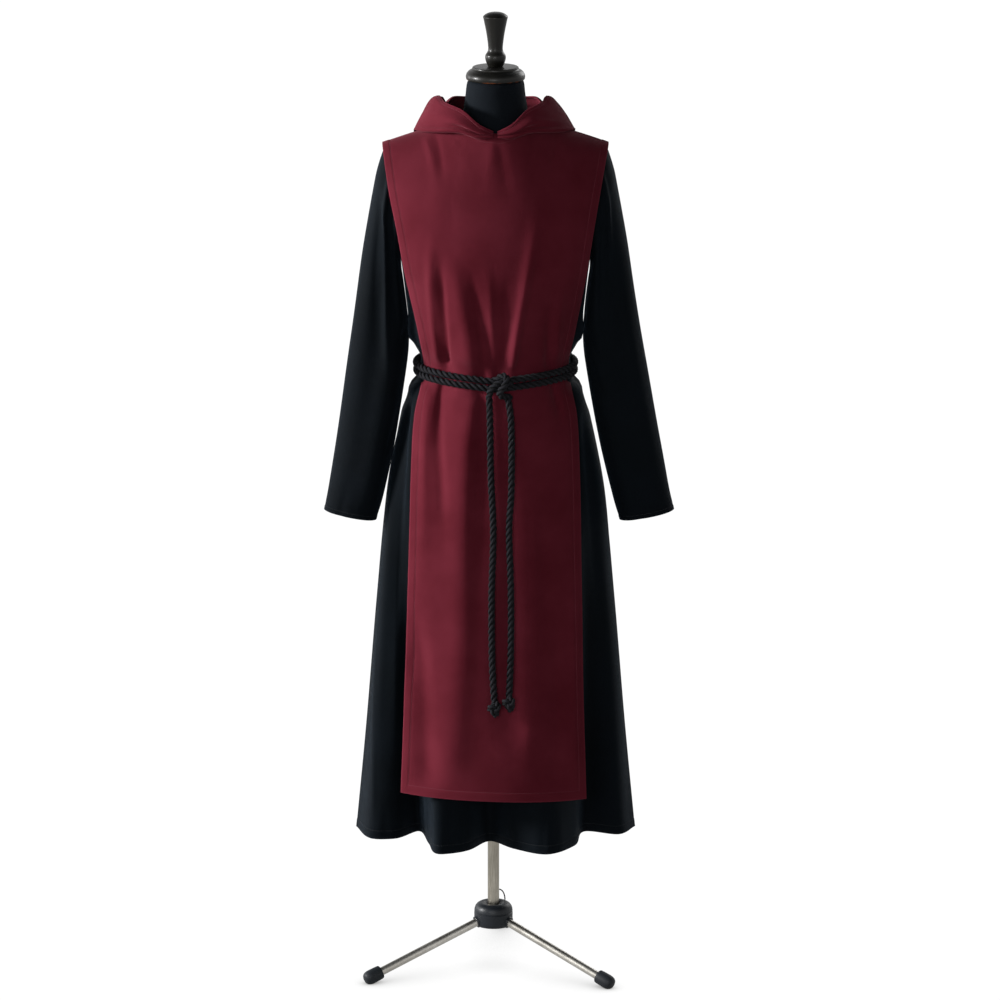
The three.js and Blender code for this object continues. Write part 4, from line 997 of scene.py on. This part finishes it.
def hoodHalf(name, node, sign, tuck):
    angles = [3, 4, 6, 9] + steps(12, 176, 66) + [177.6, 179, 180]
    shares = steps(0, 0.86, 44) + steps(0.87, 1, 14)
    grid = []
    for angle in angles:
        drawn = tuck * math.sin(math.radians(angle)) ** 2
        measures = [field(angle) for field in hoodFields]
        seamR, seamZ, foldR, foldZ, lean, outR, outZ, topR, topZ, edgeR, edgeZ = measures
        foldR -= 0.4 * drawn
        turned = sum(wave["rise"] * math.exp(-((angle - wave["angle"]) / wave["width"]) ** 2)
                     for wave in hoodWaves)
        outZ, topZ, edgeZ = outZ + 0.4 * turned, topZ + turned, edgeZ + turned
        tilt = math.radians(lean)
        turn = min(hoodSizes["foldTurn"], 0.5 * (foldR - seamR) + 1)
        tip = Vector((math.cos(tilt), -math.sin(tilt)))
        under = Vector((-math.sin(tilt), -math.cos(tilt)))
        middle = Vector((foldR, foldZ)) - tip * turn
        seam, low = Vector((seamR, seamZ)), middle + under * turn
        halfway = seam.lerp(low, 0.5) + Vector((0.05 * (seamZ - foldZ), 0))
        profile = [seam, halfway, low, Vector((foldR, foldZ)), middle - under * turn,
                   Vector((outR - 0.6 * drawn, outZ)), Vector((topR - drawn, topZ)),
                   Vector((edgeR - drawn, edgeZ))]
        row = []
        for share in shares:
            p = profilePoint(profile, share)
            around = math.radians(angle)
            x = seamGap / 2 if angle == 180 else p.x * math.sin(around)
            spot = Vector((sign * x, -p.x * math.cos(around), p.y))
            row.append(clearOfShoulders(spot, clothThickness / 2 + 3))
        grid.append(row)
    toEdge = []
    for row in grid:
        lengths = [0.0]
        for p, q in zip(row[::-1], row[-2::-1]):
            lengths.append(lengths[-1] + (q - p).length)
        toEdge.append(lengths[::-1])

    def shape(i, j):
        angle, percent = angles[i], 100 * shares[j]
        out = hoodCreases[sign](percent, angle)
        out += uneven(angle * 2, percent * 2, 40 + sign, size=70, amount=0.7)
        out *= smooth((180 - angle) / 8) * smooth((angle - 3) / 10)
        proud = hemRelief(toEdge[i][j], hoodSizes["hemBand"]) - 0.6 * math.exp(-((180 - angle) / 1.2) ** 2)
        return out, proud, 0.7 * (1 - smoothBetween(toEdge[i][j], 0, 3))

    piece, area, face = clothShell(name, grid, shape, share=0.5)
    piece.data.materials.append(wineCloth)
    line = []
    for row, lengths in zip(face, toEdge):
        j = min(range(len(lengths)), key=lambda at: abs(lengths[at] - hoodSizes["hemBand"]))
        line.append(row[j])
    scapularSewing.addRow(line)
    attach(piece, "root")
    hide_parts(node)
    return piece, area


leftHood, leftHoodArea = hoodHalf("hoodLeftCloth", "hood_left", 1, hoodSizes["leftTuck"])
rightHood, rightHoodArea = hoodHalf("hoodRightCloth", "hood_right", -1, hoodSizes["rightTuck"])
print("hood ready, square metres:", round(leftHoodArea, 3), round(rightHoodArea, 3))

# ---- the rope belt ----
# three strands laid to the right; lengths in millimetres
rope = {"radius": 6.3, "helix": 3.3, "strand": 3.0, "lay": 36.0, "sides": 10, "step": 1.7}
endKnotRope = {"radius": 6.1, "helix": 3.1, "strand": 3.0, "lay": 26.0, "sides": 9, "step": 1.2}
# the scale of an end knot's ring each way
endKnotRing = {"across": 2.6, "out": 4.3, "up": 2.75, "points": 180}
wrapSag = 15
upperWrap, lowerWrap = 1133.6, 1120.4
knotMiddle = Vector((11, 0, 1112))
# the knot, from its middle: across, out of the body, and up. The left tail's rope arches over the front
# into the right of the belt; the right tail's rises behind it, loops over the top and comes down across it.
archPoints = [(-22.5, 3, -20), (-21, 9, -10), (-16, 13, -1), (-8, 14, 5), (2, 12, 8), (11, 6, 8),
              (18, 1, 7.2)]
loopPoints = [(13.5, 2.5, -21), (7, 6, -19.5), (0, 12, -17), (-3.5, 17, -11), (-1, 22, -4), (4, 24, 3),
              (9, 21, 11), (8, 14, 18), (1, 8, 19), (-7, 3, 13), (-15, 0.5, 8.5)]
tails = {
    "left": [(1086, -11), (1060, -10), (950, -8), (860, -4), (740, -7), (620, -6), (548, -2)],
    "right": [(1088, 23), (1055, 27), (930, 28), (860, 24), (760, 27), (640, 27), (557, 24)],
}


def wrapPoint(degrees, height):
    angle, power = math.radians(degrees), 2 / sectionPower
    across, out = math.cos(angle), math.sin(angle)
    z = height - (wrapSag * (1 - abs(across) ** power) if out < 0 else 0) - 3.5 * across ** 2

    def widest(size):
        return max(size(z - 5), size(z), size(z + 5)) + scapularStandOff(z) + rope["radius"] + 3

    return Vector(((widest(side) - 2.5) * math.copysign(abs(across) ** power, across),
                   widest(front if out < 0 else back) * math.copysign(abs(out) ** power, out), z))


knotBack = wrapPoint(-90, upperWrap).y


def tailPoint(z, x):
    lies = reach(x, z, -1, scapularStandOff(z)) - 0.5 * gathered(x, z, -1) + rope["radius"] + 0.8
    return Vector((x, min(-lies, knotBack), z))


def knotPoint(x, out, z):
    return Vector((knotMiddle.x + x, knotBack - out, knotMiddle.z + z))


def evenly(points, step):
    total = sum((b - a).length for a, b in zip(points, points[1:]))
    count = max(2, round(total / step))
    made, travelled, wanted = [points[0].copy()], 0.0, total / count
    for a, b in zip(points, points[1:]):
        span = (b - a).length
        while len(made) < count and wanted <= travelled + span:
            made.append(a.lerp(b, (wanted - travelled) / span))
            wanted += total / count
        travelled += span
    return made + [points[-1].copy()]


def curveThrough(points, fine=24):
    return [curvePoint(points, i / (fine * (len(points) - 1))) for i in range(fine * (len(points) - 1) + 1)]


# A rope's frames along its centre line: point, tangent, a normal that doesn't spin, and length so far.
def ropeFrames(points, kind, closed=False):
    line = evenly(points, kind["step"])
    count, frames, run = len(line), [], 0.0
    normal = None
    for i, p in enumerate(line):
        if closed:
            tangent = (line[(i + 1) % (count - 1)] - line[(i - 1) % (count - 1)]).normalized()
        else:
            tangent = (line[min(i + 1, count - 1)] - line[max(i - 1, 0)]).normalized()
        if normal is None:
            normal = tangent.cross(Vector((0.3, 0.2, 1))).normalized()
        normal = (normal - tangent * normal.dot(tangent)).normalized()
        run += (p - line[i - 1]).length if i else 0
        frames.append((p, tangent, normal, run))
    turns = run / kind["lay"]
    if closed:
        first, last = frames[0][2], frames[-1][2]
        miss = math.atan2(frames[0][1].dot(last.cross(first)), last.dot(first))
        turns = round(turns) + miss / math.tau
    return [(p, t, n, math.tau * turns * run_ / run, run_) for p, t, n, run_ in frames]


def layRope(name, runs, kind, closed=False):
    points, faces, spots, grooveShades = [], [], [], []
    for frames in runs:
        for strand in range(3):
            centres = []
            for p, tangent, normal, turn, _ in frames:
                angle = turn + math.tau * strand / 3
                aside = tangent.cross(normal)
                centres.append(p + (normal * math.cos(angle) + aside * math.sin(angle)) * kind["helix"])
            first, last = len(points), len(centres) - 1
            for i, c in enumerate(centres):
                along = (centres[min(i + 1, last)] - centres[max(i - 1, 0)]).normalized()
                aside = along.cross(c - frames[i][0]).normalized()
                out = aside.cross(along)
                for k in range(kind["sides"]):
                    angle = math.tau * k / kind["sides"]
                    points.append(c + (out * math.cos(angle) + aside * math.sin(angle)) * kind["strand"])
                    # how far this side of a strand faces the rope's axis, for the painted shade in the
                    # grooves
                    grooveShades.append(smoothBetween(-math.cos(angle), -0.93, -0.2))
            sides = kind["sides"]
            for i in range(last):
                for k in range(sides):
                    a, b = first + i * sides + k, first + i * sides + (k + 1) % sides
                    faces.append([a, b, b + sides, a + sides])
                    around, length = k * math.tau * kind["strand"] / sides, frames[i][4]
                    wider, longer = (k + 1) * math.tau * kind["strand"] / sides, frames[i + 1][4]
                    spots += [(around, length), (wider, length), (wider, longer), (around, longer)]
            for end, ring, sign in ((0, first, -1), (last, first + last * sides, 1)):
                if closed:
                    continue
                tip = len(points)
                points.append(centres[end] + frames[end][1] * sign * kind["strand"] * 0.5)
                grooveShades.append(0.3)
                for k in range(sides):
                    corners = [ring + k, ring + (k + 1) % sides, tip]
                    faces.append(corners if sign > 0 else corners[::-1])
                    spots += [(0, frames[end][4])] * 3
    mesh = bpy.data.meshes.new(name)
    mesh.from_pydata([metres(p) for p in points], [], faces)
    layer = mesh.uv_layers.new(name="lay")
    layer.data.foreach_set("uv", [value / 1000 for spot in spots for value in spot])
    mesh.attributes.new("grooveShade", "FLOAT", "POINT").data.foreach_set("value", grooveShades)
    mesh.polygons.foreach_set("use_smooth", [True] * len(mesh.polygons))
    mesh.materials.append(ropeYarn)
    piece = addObject(name, mesh)
    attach(piece, "root")
    return piece


# One rope from the right tail's end up through the knot, round the waist, through the knot and down the
# left tail.
sections = [
    ("rightTail", [tailPoint(z, x) for z, x in tails["right"]][::-1]),
    ("loop", [knotPoint(*p) for p in loopPoints]),
    ("wrap", [wrapPoint(degrees, upperWrap) for degrees in steps(-97, -443, 120)]),
    ("arch", [knotPoint(*p) for p in archPoints][::-1]),
    ("leftTail", [tailPoint(z, x) for z, x in tails["left"]]),
]
route, marks = [], {}
for sectionName, controls in sections:
    route += controls
    marks[sectionName] = len(route) - 1
wholeLine = curveThrough(route, 12)
wholeFrames = ropeFrames(wholeLine, rope)


def framesBetween(start, end):
    near = lambda mark: min(range(len(wholeFrames)), key=lambda i: (wholeFrames[i][0] - mark).length)
    return wholeFrames[near(start):near(end) + 1]


rightTop, leftTop = tailPoint(*tails["right"][0]), tailPoint(*tails["left"][0])
beltStart, beltEnd = route[marks["loop"] + 1], route[marks["wrap"]]
upperBelt = layRope("beltUpperRope", [framesBetween(beltStart, beltEnd)], rope)
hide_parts("belt_upper")
lowerLine = [wrapPoint(degrees, lowerWrap) for degrees in steps(-90, 270, 140)]
lowerBelt = layRope("beltLowerRope", [ropeFrames(lowerLine, rope, closed=True)], rope, closed=True)
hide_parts("belt_lower")
beltKnot = layRope("beltKnotRope", [framesBetween(rightTop, beltStart), framesBetween(beltEnd, leftTop)],
                   rope)
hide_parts("belt_knot")


# A tight knot tied in a tail's end, with its short bare end below.
def endKnot(end, turn, lean):
    middle = end + Vector((0, rope["radius"] - 12, -8))
    ring = []
    for t in steps(0, math.tau, endKnotRing["points"]):
        u, v, w = math.sin(t) + 2 * math.sin(2 * t), math.cos(t) - 2 * math.cos(2 * t), -math.sin(3 * t)
        x, z = u * math.cos(turn) - v * math.sin(turn), u * math.sin(turn) + v * math.cos(turn)
        ring.append(middle + Vector((x * endKnotRing["across"] + z * lean, w * endKnotRing["out"],
                                     z * endKnotRing["up"])))
    stub = curveThrough([middle + Vector(p) for p in ((0.5, 1, -2), (1.4, 0, -9), (2.6, 0.5, -14))])
    return [ropeFrames(ring, endKnotRope, closed=True), ropeFrames(stub, endKnotRope)]


for tailName, turn, lean in (("left", 0.5, 0.5), ("right", 2.4, -0.3)):
    line = [tailPoint(z, x) for z, x in tails[tailName]]
    frames = framesBetween(line[0], line[-1]) or framesBetween(line[-1], line[0])
    if frames[0][0].z < frames[-1][0].z:
        frames = frames[::-1]
    endPiece = layRope("tailKnot" + tailName.capitalize(), endKnot(line[-1], turn, lean), endKnotRope)
    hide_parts("tail_knot_" + tailName)
    ordered = frames if frames[0][4] < frames[-1][4] else frames[::-1]
    tail = layRope("beltTail" + tailName.capitalize(), [ordered], rope)
    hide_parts("belt_tail_" + tailName)
    path = [metres(spot[0]) for spot in frames]
    [tuple(p) for p in path[::6] + path[-1:]]
print("belt ready")

# ---- the dress form ----
formLook = {"voxel": 0.005, "smoothing": 14}


def smoothedForm(name, node, look):
    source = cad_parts[node]
    piece = addObject(name, source.data.copy())
    piece.data.materials.clear()
    bpy.ops.object.select_all(action="DESELECT")
    piece.select_set(True)
    bpy.context.view_layer.objects.active = piece
    bpy.ops.object.mode_set(mode="EDIT")
    bpy.ops.mesh.select_all(action="SELECT")
    bpy.ops.mesh.remove_doubles(threshold=0.00001)
    bpy.ops.object.mode_set(mode="OBJECT")
    piece.data.remesh_voxel_size = look["voxel"]
    bpy.ops.object.voxel_remesh()
    relax = piece.modifiers.new("relax", "SMOOTH")
    relax.factor = 0.5
    relax.iterations = look["smoothing"]
    bpy.ops.object.modifier_apply(modifier="relax")
    bpy.ops.object.shade_smooth()
    piece.data.materials.append(jerseyCloth)
    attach(piece, "root")
    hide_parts(node)
    return piece


formPiece = smoothedForm("formBodyJersey", "form_torso", formLook)


# Gives a piece's faces their smoothing, turns them to face out, gives it its material and says what body it
# has.
def finishHard(piece, node, material, angle=35):
    bpy.ops.object.mode_set(mode="EDIT")
    bpy.ops.mesh.select_all(action="SELECT")
    bpy.ops.mesh.normals_make_consistent(inside=False)
    bpy.ops.object.mode_set(mode="OBJECT")
    bpy.ops.object.shade_smooth_by_angle(angle=math.radians(angle))
    piece.data.materials.clear()
    piece.data.materials.append(material)
    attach(piece, "root")
    if node:
        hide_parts(node)


def softened(profile, fine):
    points = [Vector((r, z, 0)) for r, z in profile]
    count = fine * (len(points) - 1)
    return [(max(p.x, 0.4), p.y) for p in (curvePoint(points, i / count) for i in range(count + 1))]


# A turned piece: a disc drawn up through its profile of (radius, height) about an upright axis.
def turnedPiece(name, profile, middle=(0, 0), segments=72):
    centre = metres((middle[0], middle[1], 0))
    radius, height = profile[0][0] / 1000, profile[0][1] / 1000
    bpy.ops.object.select_all(action="DESELECT")
    bpy.ops.mesh.primitive_circle_add(vertices=segments, radius=radius, fill_type="NGON",
                                      location=(centre.x, centre.y, height))
    piece = bpy.context.object
    piece.name = name
    bpy.ops.object.transform_apply(location=True)
    bpy.ops.object.mode_set(mode="EDIT")
    bpy.ops.mesh.select_all(action="SELECT")
    for nextRadius, nextHeight in profile[1:]:
        nextRadius, nextHeight = nextRadius / 1000, nextHeight / 1000
        bpy.ops.mesh.extrude_region_move(TRANSFORM_OT_translate={"value": (0, 0, nextHeight - height)})
        size = nextRadius / radius
        bpy.ops.transform.resize(value=(size, size, 1), center_override=(centre.x, centre.y, nextHeight))
        radius, height = nextRadius, nextHeight
    bpy.ops.object.mode_set(mode="OBJECT")
    return piece


# Dark painted wood: satin lacquer over a faint grain, worn to copper along one edge.
def woodMaterial(name):
    material, tree, shader = newMaterial(name)
    place = addNode(tree, "TexCoord").outputs["Object"]
    stretched = addNode(tree, "Mapping", {"Vector": place, "Scale": (1, 1, 0.12)})
    grain = addNode(tree, "TexNoise", {"Vector": stretched.outputs[0], "Scale": 260.0, "Detail": 5.0})
    speck = addNode(tree, "TexNoise", {"Vector": place, "Scale": 900.0, "Detail": 2.0})
    tone = mixTones(tree, grain.outputs["Fac"], "#0b0a08", "#1a1915")
    height = addNode(tree, "SeparateXYZ", {0: place}).outputs["Z"]
    low = addNode(tree, "MapRange", {"Value": height, "From Min": 1.6424, "From Max": 1.6442,
                                     "To Min": 1.0, "To Max": 0.0})
    patch = addNode(tree, "TexNoise", {"Vector": place, "Scale": 38.0, "Detail": 2.0})
    patchy = addNode(tree, "MapRange", {"Value": patch.outputs["Fac"], "From Min": 0.46, "From Max": 0.58})
    bare = addNode(tree, "Math", {0: low.outputs[0], 1: patchy.outputs[0]}, operation="MULTIPLY")
    rough = addNode(tree, "MapRange", {"Value": speck.outputs["Fac"], "To Min": 0.3, "To Max": 0.46})
    bump = addNode(tree, "Bump", {"Height": grain.outputs["Fac"], "Strength": 0.25, "Distance": 0.0002})
    setInputs(tree, shader, {
        "Base Color": mixTones(tree, bare.outputs[0], tone, "#8a4a26"), "Roughness": rough.outputs[0],
        "Normal": bump.outputs[0], "Specular IOR Level": 0.2, "Coat Weight": 0.1, "Coat Roughness": 0.22,
    })
    return material


# Metal with fine marks along it; moulded plastic and rubber with a fine grain.
def grainedMaterial(name, light, dark, metallic, rough, scale, bumpDepth, stretch=(1, 1, 1), specular=0.5):
    material, tree, shader = newMaterial(name)
    place = addNode(tree, "TexCoord").outputs["Object"]
    stretched = addNode(tree, "Mapping", {"Vector": place, "Scale": stretch})
    grain = addNode(tree, "TexNoise", {"Vector": stretched.outputs[0], "Scale": scale, "Detail": 4.0})
    cloud = addNode(tree, "TexNoise", {"Vector": place, "Scale": 24.0, "Detail": 4.0})
    mixed = addNode(tree, "Math", {0: grain.outputs["Fac"], 1: cloud.outputs["Fac"]}, operation="MULTIPLY")
    spread = addNode(tree, "MapRange", {"Value": mixed.outputs[0], "From Min": 0.14, "From Max": 0.38})
    share = spread.outputs[0]
    roughness = addNode(tree, "MapRange", {"Value": share, "To Min": rough[0], "To Max": rough[1]})
    bump = addNode(tree, "Bump", {"Height": grain.outputs["Fac"], "Strength": 0.4, "Distance": bumpDepth})
    setInputs(tree, shader, {
        "Base Color": mixTones(tree, share, dark, light), "Roughness": roughness.outputs[0],
        "Normal": bump.outputs[0], "Metallic": metallic, "Specular IOR Level": specular,
    })
    return material


paintedWood = woodMaterial("satinPaintedWood")
satinNickel = grainedMaterial("satinNickelTube", "#b5b0a4", "#8f8a7f", 1.0, (0.3, 0.42), 700.0, 0.00006,
                              (1, 1, 0.05))
brightChrome = grainedMaterial("brightChromeTube", "#cfccc5", "#b2aea6", 1.0, (0.36, 0.44), 300.0, 0.000005)
springWire = grainedMaterial("darkSpringWire", "#4a4c4e", "#2a2c2e", 0.9, (0.3, 0.45), 500.0, 0.00003)
mouldedPlastic = grainedMaterial("mouldedBlackPlastic", "#23282e", "#15191e", 0.0, (0.38, 0.52), 1100.0,
                                 0.00012, specular=0.3)
footRubber = grainedMaterial("mattBlackRubber", "#23282e", "#15191d", 0.0, (0.5, 0.68), 900.0, 0.00015,
                             specular=0.3)

capProfile = [(49.5, 1641.4), (51.6, 1642.2), (52.6, 1645.2), (52.4, 1649.5), (50.4, 1654), (46.5, 1657.6),
              (42.2, 1659.6)]
cap = softened(capProfile, 3) + [(41.6, 1660.2), (41.2, 1660.9), (41.4, 1661.8), (41.0, 1663.4),
                                 (39.6, 1664.3), (38, 1664.5), (20, 1664.7)]
neckCap = turnedPiece("neckCapTurned", cap)
finishHard(neckCap, "neck_cap", paintedWood, 28)
finialProfile = [(13.4, 1664.9), (14.6, 1667.5), (17.0, 1673.5), (18.4, 1680), (17.8, 1685.5),
                 (14.6, 1690.5), (13.2, 1694), (13.0, 1699), (14.2, 1711), (16.6, 1727), (19.4, 1741),
                 (21.4, 1750.5), (22.2, 1753.4), (21.4, 1755), (17.5, 1758.2), (11, 1761), (4, 1762),
                 (0.5, 1762)]
finialPiece = turnedPiece("finialTurned", softened(finialProfile, 3))
finishHard(finialPiece, "finial", paintedWood, 40)
print("form ready")

# ---- the stand ----
poleX = -4
hubProfile = [(29, 77.6), (32, 78.4), (34.2, 81), (35, 86), (35.2, 100), (35.2, 102.4), (34.4, 103.2),
              (34.4, 104.2), (35, 105), (34.6, 109), (33, 113.6), (30, 117.4), (26, 119.8), (21.5, 120.6),
              (17.5, 120), (15, 118.4), (13.6, 116.6), (12.2, 116.2), (11.2, 116)]
hubPiece = turnedPiece("hubMoulded", hubProfile, (poleX, 0))
finishHard(hubPiece, "hub", mouldedPlastic, 32)

# each leg in its own frame: from the middle of its foot up to the hub
legs = {"reach": 244, "rise": 75, "hubReach": 30, "footHeight": 13, "turn": math.radians(3.7), "radius": 7.5}
footProfile = [(3, -17), (6.5, -16.6), (9.5, -15), (11.8, -12), (12.9, -7.5), (13.2, -3), (13.0, 6),
               (12.7, 13), (12.4, 16), (11.8, 17), (9.2, 17.2), (7.9, 16.8), (7.8, 8)]
collarProfile = [(7.9, -6), (10.6, -5.6), (11, -4.8), (11, 3.6), (10.4, 4.4), (8.6, 4.6), (7.9, 4.2),
                 (7.9, 0)]


def legMatrix(index):
    foot = Vector((legs["reach"], 0, legs["footHeight"]))
    up = (Vector((legs["hubReach"], 0, legs["footHeight"] + legs["rise"])) - foot).normalized()
    turn = Matrix.Rotation(math.radians(90 + index * 120) - legs["turn"], 4, "Z")
    lean = Vector((0, 0, 1)).rotation_difference(up).to_matrix().to_4x4()
    return Matrix.Translation((poleX, 0, 0)) @ turn @ Matrix.Translation(foot) @ lean


# Lays a piece that was turned about an upright axis along a leg.
def alongLeg(piece, index, lift=0.0):
    shift = Matrix.Translation(metres((0, 0, 0)))
    lifted = Matrix.Translation((0, 0, lift))
    place = Matrix.Scale(0.001, 4) @ legMatrix(index) @ lifted @ Matrix.Scale(1000, 4)
    piece.data.transform(shift @ place @ shift.inverted())


legLength = math.hypot(legs["reach"] - legs["hubReach"], legs["rise"])
for index in range(3):
    number = str(index + 1)
    tubeProfile = [(legs["radius"], height) for height in (-5.4, 60, legLength + 9)]
    tube = turnedPiece("legTube" + number, tubeProfile, segments=48)
    alongLeg(tube, index)
    finishHard(tube, "leg_" + number, brightChrome)
    foot = turnedPiece("footCap" + number, footProfile, segments=48)
    alongLeg(foot, index)
    bpy.ops.object.mode_set(mode="EDIT")
    bpy.ops.mesh.select_all(action="SELECT")
    bpy.ops.mesh.bisect(plane_co=(0, 0, 0), plane_no=(0, 0, 1), use_fill=True, clear_inner=True)
    bpy.ops.object.mode_set(mode="OBJECT")
    finishHard(foot, "foot_" + number, footRubber)
    collar = turnedPiece("legCollar" + number, collarProfile, segments=48)
    alongLeg(collar, index, legLength)
    finishHard(collar, None, mouldedPlastic)

pole = turnedPiece("poleTube", [(10.5, 84.6), (10.5, 400), (10.5, 814.6)], (poleX, 0), 56)
finishHard(pole, "pole", satinNickel)
clipArc = {"aside": 11, "reach": 10, "out": 14.5, "lean": 1.5, "height": 121, "rise": 19}
wirePoints = [Vector((poleX + clipArc["aside"] + clipArc["reach"] * math.cos(a),
                      clipArc["out"] - clipArc["lean"] * math.cos(a),
                      clipArc["height"] + clipArc["rise"] * math.sin(a))) for a in steps(0, math.pi, 24)]
wire = bpy.data.curves.new("poleClipWire", "CURVE")
wire.dimensions = "3D"
wire.bevel_depth = 0.0012
wire.bevel_resolution = 4
spline = wire.splines.new("POLY")
spline.points.add(len(wirePoints) - 1)
for spot, p in zip(spline.points, wirePoints):
    spot.co = (*metres(p), 1)
clip = addObject("poleClipWire", wire)
clip.data.materials.append(springWire)
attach(clip, "root")
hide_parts("pole_clip")
print("stand ready")

# ---- stitches ----


# Polyester sewing thread, matt, its tone drifting a little every 2 mm along the row.
def threadMaterial(name, light, dark):
    material, tree, shader = newMaterial(name)
    place = addNode(tree, "TexCoord")
    drift = addNode(tree, "TexNoise", {"Vector": place.outputs["Object"], "Scale": 500.0, "Detail": 2.0})
    setInputs(tree, shader,
              {"Base Color": mixTones(tree, drift.outputs["Fac"], dark, light), "Roughness": 0.75})
    return material


wineThread = threadMaterial("wineThread", "#84404e", "#6c2b39")
blackThread = threadMaterial("blackThread", "#1e2126", "#121418")
for sewing, sewnName, thread, slot in ((scapularSewing, "scapularStitches", wineThread, "scapular_cloth"),
                                       (tunicHems, "tunicStitches", blackThread, "tunic_cloth")):
    stitches = sewing.finished(sewnName, thread)
    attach(stitches, "root")
